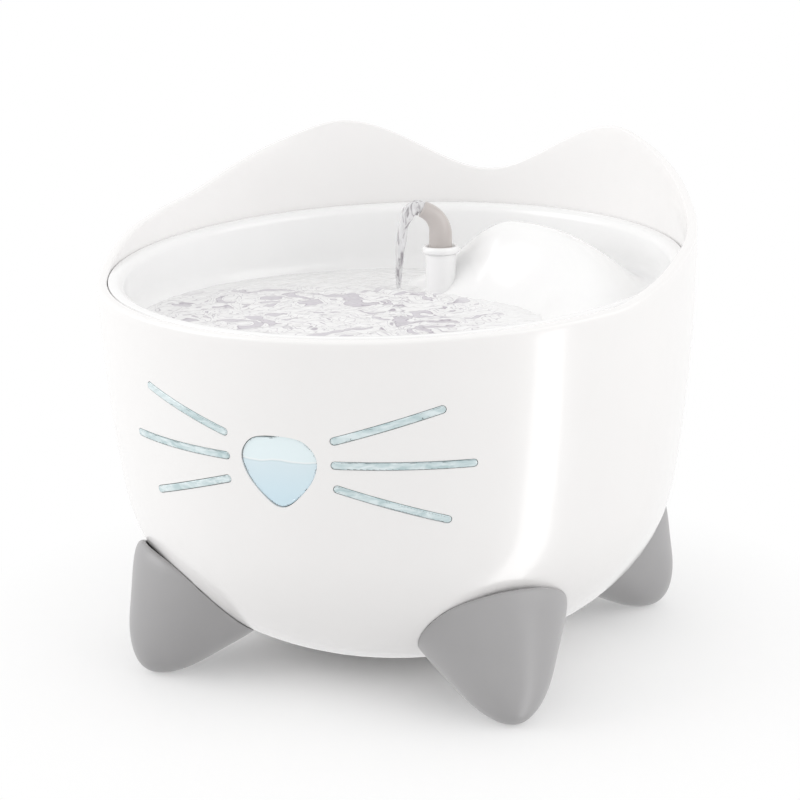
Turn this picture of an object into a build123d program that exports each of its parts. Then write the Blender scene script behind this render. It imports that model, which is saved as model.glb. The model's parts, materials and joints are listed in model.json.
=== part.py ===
from build123d import *
import math
import os

# A pet water fountain. Millimetres, +Z up, ground at z = 0, body axis on Z, front towards -Y.

# ---- rim and drinking tray ----
rim_r = 115.0              # outer radius of the tray's rim
rim_z = 156.6              # height of the rim plane on the body axis
rim_slope = 0.0656         # rise of the rim plane per mm towards the back
rim_gap = 0.5              # gap between the tray's rim and the wall round it
rim_flange_t = 3.0         # thickness of the tray's rim flange
seat_gap = 0.3             # clearance under and round parts that rest on a seat
contact_gap = 0.05         # gap between fixed pieces that press on each other
tray_wall = 2.4            # thickness of the tray
tray_flange_w = 3.4        # width of the flange outside the dish
pool_floor_z = 129.0       # top of the tray's floor under the pool
pool_z = 133.6             # level at which the tray overflows
cove_r = 12.0              # radius between the tray's floor and its wall
mound_h = 35.0             # height of the tray's mound over the pool floor
mound_angle = 24.0         # place of the mound's top, degrees from the back
mound_in = 44.0            # how far inside the rim the mound's top lies
mound_drift = 0.2          # how far its ridge moves outward per degree towards the front
mound_left = 16.0          # spread of the mound towards the left, in degrees
mound_right = 75.0         # spread of the mound towards the right front, in degrees
mound_inside = 20.0        # spread of the mound towards the pool
mound_outside = 30.0       # spread of the mound towards the wall
mound_sink = 0.4           # depth of the mound's foot under the tray's floor
mound_rows = 25            # rows of points that carry the mound's smooth face

# ---- reservoir ----
lip_wall = 4.1             # wall of the reservoir round the tray
shell_wall = 3.0           # wall of the reservoir below the ledge
ledge_gap = 0.6            # gap between the tray's dish and the ledge that carries the tray
ledge_h = 6.0              # height of the ledge's ring
base_z = 9.0               # underside of the reservoir
floor_wall = 3.0           # thickness of the reservoir's floor
side_lean = 0.007          # inward lean of the side per mm below the rim
side_bow = 0.0008          # inward bow of the side per square mm below the rim
belly_top_z = 71.96        # height where the side starts to round under
belly_h = 72.68            # height over which the rounding would close
belly_power = 2.355        # fullness of the rounding
belly_share = 0.93         # share of the rounding that is drawn, the floor cuts the rest
belly_steps = 8            # points of the outline along the rounding
side_steps = 6             # points of the outline along the side
cut_over = 20.0            # how far cuts run past the body
valley_rise = 23.0         # back wall between the ears, above the rim plane's centre
ear_rise = 45.4            # top of the ears above the rim plane's centre
ear_angle = 33.5           # angle of each ear's top from the back
# Angle from the back, and rise above the rim plane's centre, of the edge that falls from each ear.
ear_fall = ((46, 39.1), (58, 29.9), (70, 19.6), (84, 12.7), (94, 8.1), (104, 2.3))
ear_end_angle = 118.0      # angle from the back where the falling edge meets the rim

# ---- windows ----
window_start = 10.0        # distance outside the rim from which a window is cut
window_reach = 37.0        # depth of that cut
window_gap = 0.1           # glue gap round each window
nose_z = 100.6             # height of the nose window's centre
nose_half_w = 14.5         # half width of the nose window
nose_half_h = 13.3         # half height of the nose window
nose_sunk = 0.6            # how far the nose window lies under the skin
nose_flange = 3.0          # width of the nose window's inner flange
nose_flange_t = 1.6        # thickness of that flange
nose_lap = 0.5             # depth by which the window's plug and its flange overlap
nose_seal_t = 1.0          # thickness of the nose window's gasket
nose_seal_in = 0.5         # how far the gasket stays inside the flange's edge
whisker_w = 2.8            # width of a whisker window
whisker_proud = 0.3        # how far a whisker window stands out of the skin

# ---- feet ----
foot_angles = (43.1, 120.7)    # front and rear feet, degrees from the front
foot_root_in = 43.2        # how far inside the tray's rim the horn's inner end lies
foot_root_z = 56.4         # height of the horn's inner end
foot_root_w = 37.8         # radius of the horn at its inner end
foot_tip_in = 7.1          # how far inside the tray's rim the middle of the foot's tip lies
foot_tip_z = 9.0           # height of the middle of the foot's tip
foot_blunt = 1.02          # fullness of the horn: 1 is round, 2 is a sharp cone
foot_wall = 2.6            # thickness of the hollow foot
foot_gap = 0.2             # clearance between a foot and the body
foot_hollow_gap = 0.1      # further clearance of the foot's hollow to the body
foot_flat_z = 1.0          # height of the foot's flat underside
pad_r = 3.6                # radius of a rubber pad
pad_in = 10.5              # how far inside the tray's rim the middle of a rubber pad lies
pad_depth = 1.2            # depth of its recess in the foot
screw_in = 23.0            # how far inside the tray's rim the foot screws lie
screw_r = 1.75             # radius of a foot screw's shank
screw_head_r = 3.4         # radius of its head
screw_head_t = 2.4         # thickness of its head
screw_grip = 9.0           # length of thread in the boss
screw_cross_l = 4.4        # length of the cross in a screw's head
screw_cross_w = 1.0        # width of that cross
screw_cross_d = 1.2        # depth of that cross
boss_r = 5.5               # radius of the body's screw boss
boss_len = 19.0            # length of the boss before it is trimmed at the wall
foot_post_r = 6.5          # radius of the foot's screw post
boss_z = 15.0              # lower end of the screw boss

# ---- column and spout ----
spout_in = 62.1            # how far inside the tray's rim the column stands
column_r = 6.6             # outer radius of the column
column_top_z = 150.4       # top of the column
column_bore_r = 4.4        # bore of the column
collar_r = 8.2             # outer radius of the collar
collar_t = 3.2             # height of the collar
collar_soft = 1.3          # rounding of the collar's edges
collar_dish = 1.4          # depth of the recess in the collar's top
collar_lip = 1.6           # width of that recess round the spout
collar_gap = 0.2           # how much wider the collar's hole is than the column's bore
spout_turn = 67.0          # heading of the spout, degrees from the front towards -X
spout_root_r = 5.0         # outer radius of the spout above the collar
spout_mouth_r = 3.6        # outer radius of the spout's mouth
spout_wall = 1.1           # wall of the spout
spout_rise = 6.5           # straight length above the collar
spout_bend_r = 11.0        # radius of the spout's bend
spout_bend = 62.0          # angle of the bend
spout_end = 2.2            # straight length at the mouth
spout_stub = 12.0          # length of the spout's stub in the column
swivel_gap = 0.08          # radial running clearance of the stub

# ---- riser ----
riser_r = 5.0              # outer radius of the riser tube
riser_wall = 1.5           # wall of the riser tube
riser_top_z = 124.0        # top of the riser tube
riser_insert = 7.0         # depth of the riser in the pump's outlet
riser_fit = 0.05           # radial gap of the riser in the pump's outlet
riser_head = 1.5           # room above the riser in the tray's socket
seal_t = 2.0               # radial thickness of the socket's seal
seal_h = 9.0               # height of that seal
seal_gap = 0.1             # radial gap between the seal and the riser
seal_fit = 0.05            # gap between the seal and the tray's socket
socket_wall = 2.2          # wall of the tray's socket
socket_end_z = 113.0       # lower end of the tray's socket

# ---- overflow of the tray ----
weir_in = 35.0             # how far inside the tray's rim the overflow lies
weir_half_w = 26.0         # half width of its raised edge
weir_half_d = 9.0          # half depth of its raised edge
weir_wall = 2.0            # thickness of its raised edge
weir_slots = 5             # number of drain slots
weir_slot_w = 4.5          # width of a drain slot
weir_slot_pitch = 9.0      # spacing of the drain slots
weir_slot_gap = 1.5        # room between the drain slots' ends and the raised edge

# ---- pump chamber and filter cup ----
tub_ahead = 14.9           # how far the pump chamber's axis lies in front of the column's
tub_gap = 2.0              # room between the motor housing's corners and the chamber's wall
tub_floor_z = 19.5         # underside of the pump chamber
tub_wall = 2.0             # wall of the chamber and the cup
plug_h = 5.0               # depth of the cup's plug in the chamber
cup_step = 0.9             # how far the pump chamber stands out in front of the cup on it
cup_z = 62.0               # underside of the filter cup
cup_h = 29.0               # height of the filter cup
cup_riser_gap = 1.0        # gap between the riser and what it passes through
cup_slots = 8              # openings in the cup's floor
cup_slot_r = 3.0           # radius of each opening
cup_slot_pcd = 42.0        # circle of those openings
lid_t = 2.4                # thickness of the filter lid
lid_skirt = 4.0            # depth of the rim by which the lid sits in the cup
lid_slots = 24             # slots in the filter lid and in the cartridge's floor
lid_slot_w = 2.6           # width of a slot in the lid
lid_hub = 8.0              # unslotted ring of the lid round the riser
lid_edge = 10.0            # unslotted ring of the lid at its edge
lid_tab_x = 24.0           # place of each finger tab, beside the riser
lid_tab_w = 14.0           # width of a finger tab
lid_tab_t = 2.0            # thickness of a finger tab
lid_tab_h = 8.5            # height of a finger tab over the lid's underside
suction_r = 8.0            # radius of a suction cup under the housing
suction_h = 3.0            # height of its bell
suction_wall = 1.4         # wall of its bell
suction_neck_r = 3.5       # radius of its neck
# Places of the suction cups, measured from the pump chamber's axis.
suction_places = ((-17.0, -16.0), (17.0, -16.0), (-15.0, 6.0), (15.0, 6.0))

# ---- filter cartridge ----
cartridge_gap = 0.6        # gap between the cartridge and the cup
cartridge_wall = 1.6       # wall of the cartridge frame
cartridge_slot_w = 2.4     # width of a slot in the cartridge's floor
cartridge_slot_in = 4.0    # room between those slots and the inner wall
cartridge_slot_out = 5.0   # room between those slots and the outer wall
softener_h = 6.5           # height of the softening bed
carbon_h = 6.5             # height of the carbon bed
foam_h = 7.0               # height of the foam pad
bed_gap = 0.3              # gap between the beds and their frame

# ---- pump ----
pump_z = 40.5              # height of the pump's shaft
motor_half_w = 18.0        # half width of the motor housing
motor_half_h = 15.0        # half height of the motor housing
motor_len = 32.1           # length of the motor housing
motor_wall = 2.2           # wall of the motor housing
motor_corner_r = 4.0       # rounding of the motor housing's edges
potting_t = 1.8            # thickness of the resin plug at its front
chamber_len = 13.6         # length of the impeller chamber
chamber_r = 12.5           # radius of the impeller chamber
volute_wall = 2.0          # wall of the volute
outlet_top_z = 63.9        # top of the pump's outlet
outlet_wall = 1.4          # wall of the pump's outlet
spider_wall = 1.1          # wall of the ring that holds the intake bush
spider_w = 1.6             # width of the bars that hold that ring
intake_r = 7.0             # radius of the intake hole
cover_t = 2.0              # thickness of the intake grille
cover_slots = 5            # slots in the intake grille
cover_slot_pitch = 2.2     # spacing of those slots
cover_slot_w = 1.0         # width of those slots
cover_slot_side = 1.5      # how much shorter they are than the slider, at each end
rotor_r = 6.6              # radius of the rotor magnet
rotor_len = 16.0           # length of the rotor magnet
rotor_gap = 0.9            # gap between the rotor and its well
rotor_end_gap = 0.6        # gap between the rotor and the impeller chamber
well_wall = 1.2            # wall of the rotor well
well_room = 1.5            # room in the well behind the rotor, beside its bush
shaft_r = 1.25             # radius of the ceramic shaft
shaft_fit = 0.02           # radial gap of the shaft in its bushes
shaft_end_gap = 0.5        # distance of the shaft's ends from the bushes' outer faces
bearing_gap = 0.06         # radial running clearance on the shaft
hub_r = 3.4                # radius of the impeller's hub
impeller_r = 10.5          # radius of the impeller
impeller_gap = 0.4         # gap between the impeller and the motor housing
impeller_plate_t = 1.2     # thickness of the impeller's back plate
impeller_len = 9.0         # length of the impeller's blades
blade_t = 1.4              # thickness of a blade
blade_count = 6            # blades of the impeller
blade_root_r = 2.5         # radius at which the blades start, inside the hub
bush_r = 3.2               # radius of a shaft bush
bush_len = 3.0             # length of a shaft bush
bush_end_t = 0.45          # thickness of a bush's closed end
slider_half_w = 6.0        # half width of the flow slider
slider_h = 8.0             # height of the flow slider
slider_t = 1.6             # thickness of the flow slider
slider_hole_r = 2.2        # radius of the hole in the flow slider
slider_ridge_w = 1.5       # width of its finger ridge
slider_ridge_h = 1.2       # how far that ridge stands out
rail_t = 1.2               # thickness of the slider's rails
rail_over = 1.0            # how much longer the rails are than the slider, at each end
rail_root = 0.5            # depth of the rails' root in the intake grille
rail_rise = 0.4            # how far the rails stand out past the slider's thickness
coil_half = 8.0            # half height and half width of the coil
core_bar = 5.0             # thickness of the stator core
coil_t = 1.4               # thickness of the winding on the core
coil_gap = 0.2             # gap round the stator core
core_half_h = 5.0          # half height of the stator core
core_in = 3.4              # distance of the core from the motor housing's front
core_end_gap = 4.0         # distance of the core's arms from the impeller chamber
core_well_gap = 0.4        # gap between the core's arms and the rotor's well
pump_foot_r = 4.0          # radius of a rubber foot under the pump
pump_foot_x = 11.0         # place of those feet beside the pump's axis
pump_foot_in = 7.0         # distance of those feet from the motor housing's ends

# ---- lead and power inlet ----
lead_r = 1.75              # radius of the lead
lead_gap = 0.15            # radial gap between the lead and what holds it
inlet_z = 116.0            # height of the power inlet
inlet_r = 5.0              # outer radius of the inlet's barrel
inlet_bore_r = 2.75        # bore of the inlet
inlet_bore_len = 9.0       # depth of that bore
inlet_pin_r = 1.0          # radius of the inlet's centre pin
inlet_flange_r = 8.0       # radius of the inlet's outer flange
inlet_flange_t = 0.9       # thickness of that flange
inlet_seal_t = 0.6         # room for the seal between the flange and the wall
inlet_in_len = 12.0        # length of the inlet inside the wall
inlet_fit = 0.1            # radial gap of the inlet in the wall
inlet_pin_len = 2.0        # length of the centre contact behind the bore
inlet_entry = 2.5          # depth of the lead's entry in the inlet's barrel
nut_w = 3.2                # how far the nut stands out of the barrel
nut_t = 4.0                # thickness of the nut
nut_gap = 0.9              # gap between the nut and the wall
gland_wall = 1.8           # wall of the lead's gland on the motor housing
gland_len = 6.0            # length of that gland
lead_grip = 4.0            # length of the lead inside its gland
clip_len = 5.0             # length of a lead clip
clip_t = 2.2               # thickness of a lead clip
clip_reach = 16.0          # length of a clip's foot before it is trimmed at the wall
grommet_t = 1.2            # thickness of the lead's grommet
grommet_lip = 1.3          # how far its flange stands out of its barrel
grommet_flange_t = 1.4     # thickness of that flange
grommet_in = 1.0           # how far the grommet reaches into the pump chamber

# ---- worked out from the driving dimensions ----
body_rim_r = rim_r + rim_gap + lip_wall
pocket_r = rim_r + rim_gap
dish_r = rim_r - tray_flange_w
ledge_r = dish_r + ledge_gap
floor_z = base_z + floor_wall
ear_top_z = rim_z + ear_rise
above_z = ear_top_z + cut_over
far = 2.0 * body_rim_r
mound_plan_r = rim_r - mound_in
foot_root_r = rim_r - foot_root_in
foot_tip_r = rim_r - foot_tip_in
pad_plan_r = rim_r - pad_in
screw_plan_r = rim_r - screw_in
weir_y = weir_in - rim_r
spout_y = rim_r - spout_in
chamber_y0 = spout_y - chamber_len / 2
chamber_y1 = spout_y + chamber_len / 2
volute_y1 = chamber_y1 + volute_wall
cover_y1 = volute_y1 + cover_t
motor_front_y = chamber_y0 - motor_len
core_y0 = motor_front_y + core_in
well_y = chamber_y0 - rotor_len - bush_len - well_room
rear_bush_y0 = well_y + 2 * contact_gap
front_bush_y1 = volute_y1 - 2 * contact_gap
tub_y = spout_y - tub_ahead
tub_r = tub_wall + tub_gap + math.hypot(motor_half_w, tub_y - motor_front_y)
cup_r = spout_y - tub_y + tub_r - cup_step
socket_r = riser_r + seal_gap + seal_t + seal_fit
socket_top_z = riser_top_z + riser_head
outlet_bore_r = riser_r + riser_fit
outlet_outer_r = outlet_bore_r + outlet_wall
cup_floor_z = cup_z + tub_wall
cup_top_z = cup_z + cup_h
cartridge_r = cup_r - tub_wall - cartridge_gap
cartridge_hole_r = riser_r + cup_riser_gap + cartridge_wall
cartridge_z = cup_floor_z + seat_gap
lead_out_y = tub_y


def rim_height(y):
    """Height of the sloping rim plane at a depth y."""
    return rim_z + rim_slope * y


def body_radius(z):
    """Outer radius of the body at a height: a bowed side that rounds under."""
    fall = rim_z - z
    side = body_rim_r - side_lean * fall - side_bow * fall ** 2
    share = min(max((belly_top_z - z) / belly_h, 0.0), 0.99)
    return side * (1 - share ** belly_power) ** (1 / belly_power)


def skin_point(z, depth):
    """The point at a depth under the skin, square to the skin at height z."""
    step = 0.01
    lean = (body_radius(z + step) - body_radius(z - step)) / (2 * step)
    norm = math.hypot(1.0, lean)
    return (body_radius(z) - depth / norm, z + depth * lean / norm)


def cylinder(radius, z0, z1, x=0.0, y=0.0):
    """An upright cylinder between two heights."""
    return Pos(x, y, (z0 + z1) / 2) * Cylinder(radius, z1 - z0)


def cylinder_y(radius, y0, y1, x=0.0, z=0.0):
    """A cylinder along Y between two depths."""
    return Pos(x, (y0 + y1) / 2, z) * Rot(90, 0, 0) * Cylinder(radius, y1 - y0)


def cylinder_x(radius, x0, x1, y=0.0, z=0.0):
    """A cylinder along X between two sides."""
    return Pos((x0 + x1) / 2, y, z) * Rot(0, 90, 0) * Cylinder(radius, x1 - x0)


def block(x0, x1, y0, y1, z0, z1):
    """A box between two corners."""
    return Pos((x0 + x1) / 2, (y0 + y1) / 2, (z0 + z1) / 2) * Box(x1 - x0, y1 - y0, z1 - z0)


def body_solid(depth, bottom):
    """The body turned about its axis, shrunk by a depth, from a height to above the ears."""
    low = belly_top_z - belly_share * belly_h
    belly = [low + (belly_top_z - low) * step / belly_steps for step in range(belly_steps + 1)]
    side = [belly_top_z + (above_z - belly_top_z) * step / side_steps
            for step in range(1, side_steps + 1)]
    points = [skin_point(z, depth) for z in belly + side]
    outline = Spline(*[(r, z) for r, z in points])
    low_r, low_z = points[0]
    top_r, top_z = points[-1]
    close = Polyline((top_r, top_z), (0, top_z), (0, low_z), (low_r, low_z))
    profile = make_face(Plane.XZ * (outline + close))
    turned = revolve(profile, Axis.Z)
    return turned & cylinder(far, bottom, above_z)


def below_rim(drop):
    """The space under the rim plane, lowered by a drop."""
    corners = [(-far, 0), (far, 0), (far, rim_height(far) - drop), (-far, rim_height(-far) - drop)]
    face = make_face(Plane.YZ * Polyline(*corners, close=True))
    return extrude(face, far, both=True)


def above_ears():
    """What is cut away above the rim and the ears."""
    wall_r = pocket_r + lip_wall / 2
    top_x = wall_r * math.sin(math.radians(ear_angle))
    top_y = wall_r * math.cos(math.radians(ear_angle))
    back = Spline((-top_x, ear_top_z), (0, rim_z + valley_rise), (top_x, ear_top_z),
                  tangents=((1, 0), (1, 0)))
    back_lid = Polyline((top_x, ear_top_z), (top_x, above_z), (-top_x, above_z),
                        (-top_x, ear_top_z))
    back_cut = extrude(make_face(Plane.XZ * (back + back_lid)), -far)
    side_points = [(top_y, ear_top_z)]
    for angle, rise in ear_fall:
        side_points.append((wall_r * math.cos(math.radians(angle)), rim_z + rise))
    front_y = wall_r * math.cos(math.radians(ear_end_angle))
    side_points.append((front_y, rim_height(front_y)))
    side = Spline(*side_points, tangents=((-1, 0), (-1, -rim_slope)))
    side_lid = Polyline((front_y, rim_height(front_y)), (-far, rim_height(-far)), (-far, above_z),
                        (top_y, above_z), (top_y, ear_top_z))
    side_cut = extrude(make_face(Plane.YZ * (side + side_lid)), far, both=True)
    return back_cut + side_cut + cylinder(far, ear_top_z, above_z)


def window_plane(angle, z):
    """A plane outside the front, facing out, at an angle from the front and a height."""
    turn = math.radians(angle)
    out = Vector(math.sin(turn), -math.cos(turn), 0)
    across = Vector(math.cos(turn), math.sin(turn), 0)
    return Plane(origin=out * (body_rim_r + window_start) + Vector(0, 0, z), x_dir=across, z_dir=out)


def window_prism(plane, sketch):
    """A flat outline pushed through the wall."""
    return extrude(plane * sketch, -window_reach)


def nose_outline(grow):
    """The rounded, downward-pointing triangle of the nose window, grown all round."""
    half_w = nose_half_w + grow
    half_h = nose_half_h + grow
    right = [(0.66, 0.89), (0.99, 0.42), (0.85, -0.19), (0.37, -0.80)]
    shares = [(0, 1)] + right + [(0, -1)] + [(-x, y) for x, y in reversed(right)]
    points = [(x * half_w, y * half_h) for x, y in shares]
    return make_face(Spline(*points, periodic=True))


# Inner angle, inner height, outer angle and outer height of each right-hand whisker.
whiskers = {
    "upper": (9.7, 113.0, 29.2, 125.1),
    "middle": (9.6, 104.5, 34.7, 104.5),
    "lower": (9.8, 96.0, 30.2, 83.5),
}


def whisker_prism(side, level, grow):
    """The round-ended bar of one whisker, pushed through the wall."""
    in_angle, in_z, out_angle, out_z = whiskers[level]
    mid = (in_angle + out_angle) / 2
    mid_z = (in_z + out_z) / 2
    reach = body_radius(mid_z) * math.sin(math.radians(out_angle - mid)) * 2
    tilt = math.degrees(math.atan2(out_z - in_z, reach))
    length = math.hypot(reach, out_z - in_z)
    bar = SlotCenterToCenter(length - whisker_w, whisker_w + 2 * grow)
    return window_prism(window_plane(side * mid, mid_z), Rot(0, 0, side * tilt) * bar)


def foot_places():
    """Name and angle from the front of each foot."""
    front, rear = foot_angles
    return {"foot_front_right": front, "foot_front_left": -front,
            "foot_rear_right": rear, "foot_rear_left": -rear}


def foot_spot(angle, plan_r):
    """Plan position at an angle from the front."""
    turn = math.radians(angle)
    return plan_r * math.sin(turn), -plan_r * math.cos(turn)


def horn(shrink):
    """The foot's full horn, leaning out along +X, thinner all round by an amount."""
    run = foot_tip_r - foot_root_r
    drop = foot_root_z - foot_tip_z
    length = math.hypot(run, drop) + foot_tip_z - shrink
    width = foot_root_w - shrink
    shares = [0.0, 0.14, 0.28, 0.42, 0.58, 0.78, 1.0]
    points = [(width * share ** foot_blunt, length * (1 - share ** 2)) for share in shares]
    side = Spline(*points, tangents=((1, 0), (1, -1.2)))
    outline = side + Polyline((width, 0), (0, 0), (0, length))
    frame = Plane(origin=(foot_root_r, 0, foot_root_z), x_dir=(0, 1, 0), z_dir=(run, 0, -drop))
    return frame * revolve(make_face(Plane.XZ * outline), Axis.Z)


def make_reservoir():
    """The white tank with its ears, ledge, window openings and screw bosses."""
    body = body_solid(0.0, base_z)
    cavity = body_solid(shell_wall, floor_z) & below_rim(rim_flange_t + seat_gap + ledge_h)
    throat = cylinder(ledge_r, pool_floor_z, above_z)
    pocket = cylinder(pocket_r, 0.0, above_z) - below_rim(rim_flange_t + seat_gap)
    shell = body - cavity - throat - pocket - above_ears()
    for side in (-1, 1):
        for level in whiskers:
            shell -= whisker_prism(side, level, 0.0)
    shell -= window_prism(window_plane(0, nose_z), nose_outline(0.0))
    for angle in foot_places().values():
        x, y = foot_spot(angle, screw_plan_r)
        boss = cylinder(boss_r, boss_z, boss_z + boss_len, x, y) - body_solid(shell_wall / 2, 0.0)
        pilot = cylinder(screw_r, boss_z, boss_z + screw_grip, x, y)
        shell = shell + boss - pilot
    hole_r = inlet_r + inlet_fit
    shell -= cylinder_y(hole_r, body_radius(inlet_z) - 3 * shell_wall, far, 0, inlet_z)
    return shell


def make_whisker(side, level):
    """One translucent whisker window that fills its opening."""
    layer = body_solid(-whisker_proud, base_z) - body_solid(shell_wall, base_z)
    return whisker_prism(side, level, -window_gap) & layer


def make_nose_window():
    """The clear nose window, with a wider flange behind the wall."""
    plane = window_plane(0, nose_z)
    flange_d = shell_wall + nose_seal_t
    plug_layer = body_solid(nose_sunk, base_z) - body_solid(flange_d + nose_lap, base_z)
    flange_layer = body_solid(flange_d, base_z) - body_solid(flange_d + nose_flange_t, base_z)
    plug = window_prism(plane, nose_outline(-window_gap)) & plug_layer
    flange = window_prism(plane, nose_outline(nose_flange)) & flange_layer
    return plug + flange


def make_nose_gasket():
    """The soft ring between the nose window's flange and the wall."""
    plane = window_plane(0, nose_z)
    layer = body_solid(shell_wall + contact_gap, base_z)
    layer -= body_solid(shell_wall + nose_seal_t - contact_gap, base_z)
    ring = window_prism(plane, nose_outline(nose_flange - nose_seal_in))
    ring -= window_prism(plane, nose_outline(window_gap))
    return ring & layer


def make_foot():
    """One hollow horn-shaped foot, pointing along +X before it is turned into place."""
    shape = horn(0.0) - body_solid(-foot_gap, 0.0) - cylinder(far, -cut_over, foot_flat_z)
    hollow = horn(foot_wall) - body_solid(-foot_gap - foot_hollow_gap, 0.0)
    hollow -= cylinder(far, -cut_over, foot_flat_z + pad_depth + foot_wall)
    post_top = boss_z - seat_gap
    post = cylinder(foot_post_r, foot_flat_z, post_top, screw_plan_r) & horn(0.0)
    boss_room = cylinder(boss_r + seat_gap, post_top, boss_z + far, screw_plan_r)
    foot = shape - hollow + post - boss_room
    head_seat = boss_z - seat_gap - foot_wall
    foot -= cylinder(screw_head_r + seat_gap, -1.0, head_seat, screw_plan_r)
    foot -= cylinder(screw_r + seat_gap, 0.0, post_top + 1.0, screw_plan_r)
    foot -= cylinder(pad_r, 0.0, foot_flat_z + pad_depth, pad_plan_r)
    return foot.solids().sort_by(SortBy.VOLUME)[-1]


def make_foot_screw():
    """A pan-head screw that holds a foot to its boss, at the foot's unturned place."""
    seat = boss_z - seat_gap - foot_wall
    low = seat - screw_head_t
    head = cylinder(screw_head_r, low, seat, screw_plan_r)
    for length, width in ((screw_cross_l, screw_cross_w), (screw_cross_w, screw_cross_l)):
        head -= block(screw_plan_r - length / 2, screw_plan_r + length / 2, -width / 2, width / 2,
                      low, low + screw_cross_d)
    shank = cylinder(screw_r - contact_gap, seat, boss_z + screw_grip - seat_gap, screw_plan_r)
    return head + shank


def make_foot_pad():
    """A rubber pad in the foot's tip, at the foot's unturned place."""
    return cylinder(pad_r - contact_gap, 0.0, foot_flat_z + pad_depth, pad_plan_r)


def turned_to(shape, angle):
    """A piece modelled along +X, turned to an angle from the front."""
    return Rot(0, 0, angle - 90) * shape


def mound_rise(x, y):
    """Height of the mound over the pool floor: a ridge that runs round the back right."""
    plan_r = math.hypot(x, y)
    turn = math.degrees(math.atan2(x, y)) - mound_angle
    if turn < -90:
        return 0.0
    side_spread = mound_right if turn > 0 else mound_left
    ridge_r = mound_plan_r + mound_drift * max(turn, 0.0)
    cross_spread = mound_inside if plan_r < ridge_r else mound_outside
    return mound_h * math.exp(-(turn / side_spread) ** 2 - ((plan_r - ridge_r) / cross_spread) ** 2)


def mound_ground(drop):
    """The solid under the mound's smooth face, lowered by a drop."""
    low_x, low_y, high = -rim_r / 2, -rim_r, rim_r
    grid = []
    for row in range(mound_rows):
        y = low_y + (high - low_y) * row / (mound_rows - 1)
        line = []
        for column in range(mound_rows):
            x = low_x + (high - low_x) * column / (mound_rows - 1)
            line.append((x, y, pool_floor_z - drop + mound_rise(x, y)))
        grid.append(line)
    top = Face.make_surface_from_array_of_points(grid, tol=0.01, min_deg=3, max_deg=3)
    return Solid.extrude(top, Vector(0, 0, -rim_z / 2))


def dish_solid(shrink):
    """The space of the dish, round-footed, thinner all round by an amount."""
    edge_r = dish_r - shrink
    low_z = pool_floor_z - tray_wall + shrink
    turn_r = cove_r + tray_wall - shrink
    mid_r = edge_r - turn_r * (1 - math.sqrt(0.5))
    mid_z = low_z + turn_r * (1 - math.sqrt(0.5))
    outline = Line((0, low_z), (edge_r - turn_r, low_z))
    outline += ThreePointArc((edge_r - turn_r, low_z), (mid_r, mid_z), (edge_r, low_z + turn_r))
    outline += Polyline((edge_r, low_z + turn_r), (edge_r, above_z), (0, above_z), (0, low_z))
    return revolve(make_face(Plane.XZ * outline), Axis.Z)


def make_tray():
    """The drinking tray: rim flange, dish, hollow mound, column, riser socket and overflow."""
    outside = dish_solid(0.0)
    inside = dish_solid(tray_wall)
    rim = cylinder(rim_r, rim_z / 2, above_z) - below_rim(rim_flange_t)
    tray = ((outside + rim) & below_rim(0.0)) - inside
    tray += mound_ground(mound_sink) & outside
    hollow = mound_ground(tray_wall + mound_sink)
    hollow &= cylinder(dish_r - 2 * tray_wall, rim_z / 2, rim_z - tray_wall)
    tray -= hollow
    low_z = pool_floor_z - tray_wall / 2
    tray += cylinder(column_r, low_z, column_top_z, 0, spout_y)
    tray += cylinder(socket_r + socket_wall, socket_end_z, low_z, 0, spout_y)
    tray -= cylinder(socket_r, socket_end_z - 1.0, socket_top_z, 0, spout_y)
    tray -= cylinder(column_bore_r, socket_top_z - 1.0, above_z, 0, spout_y)
    weir = extrude(Pos(0, weir_y, low_z) * weir_outline(0.0), pool_z - low_z)
    weir -= extrude(Pos(0, weir_y, pool_floor_z) * weir_outline(weir_wall), far)
    tray += weir
    half_d = weir_half_d - weir_wall - weir_slot_gap
    for slot in range(weir_slots):
        x = (slot - (weir_slots - 1) / 2) * weir_slot_pitch
        tray -= block(x - weir_slot_w / 2, x + weir_slot_w / 2, weir_y - half_d, weir_y + half_d,
                      pool_floor_z - cut_over, pool_z)
    return tray


def weir_outline(shrink):
    """The round-ended outline of the overflow's raised edge."""
    depth = 2 * (weir_half_d - shrink)
    return SlotOverall(2 * (weir_half_w - shrink), depth)


def make_collar():
    """The ring on top of the column, dished round the spout."""
    bottom = column_top_z
    ring = cylinder(collar_r, bottom, bottom + collar_t, 0, spout_y)
    ring = fillet(ring.edges().filter_by(GeomType.CIRCLE), collar_soft)
    ring -= cylinder(spout_root_r + collar_lip, bottom + collar_t - collar_dish, above_z, 0, spout_y)
    ring -= cylinder(column_bore_r + collar_gap, bottom - 1, above_z, 0, spout_y)
    return ring


def spout_skin(radius_in):
    """The bent, tapering tube of the spout, thinner by an amount, in its own XZ plane."""
    seat = column_top_z + collar_t - collar_dish + seat_gap
    sections = [((0, 0, seat), 0.0, spout_root_r)]
    sections.append(((0, 0, seat + spout_rise), 0.0, spout_root_r))
    bends = 4
    for step in range(1, bends + 1):
        angle = math.radians(spout_bend * step / bends)
        reach = spout_bend_r * (1 - math.cos(angle))
        rise = spout_rise + spout_bend_r * math.sin(angle)
        radius = spout_root_r + (spout_mouth_r - spout_root_r) * step / (bends + 1)
        sections.append(((reach, 0, seat + rise), spout_bend * step / bends, radius))
    end = math.radians(spout_bend)
    (last_x, _, last_z), _, _ = sections[-1]
    mouth = (last_x + spout_end * math.sin(end), 0, last_z + spout_end * math.cos(end))
    sections.append((mouth, spout_bend, spout_mouth_r))
    discs = []
    for centre, lean, radius in sections:
        plane = Plane(origin=centre, z_dir=(math.sin(math.radians(lean)), 0, math.cos(math.radians(lean))))
        discs.append(plane * Circle(radius - radius_in))
    return loft(discs[:2]) + loft(discs[1:])


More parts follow.
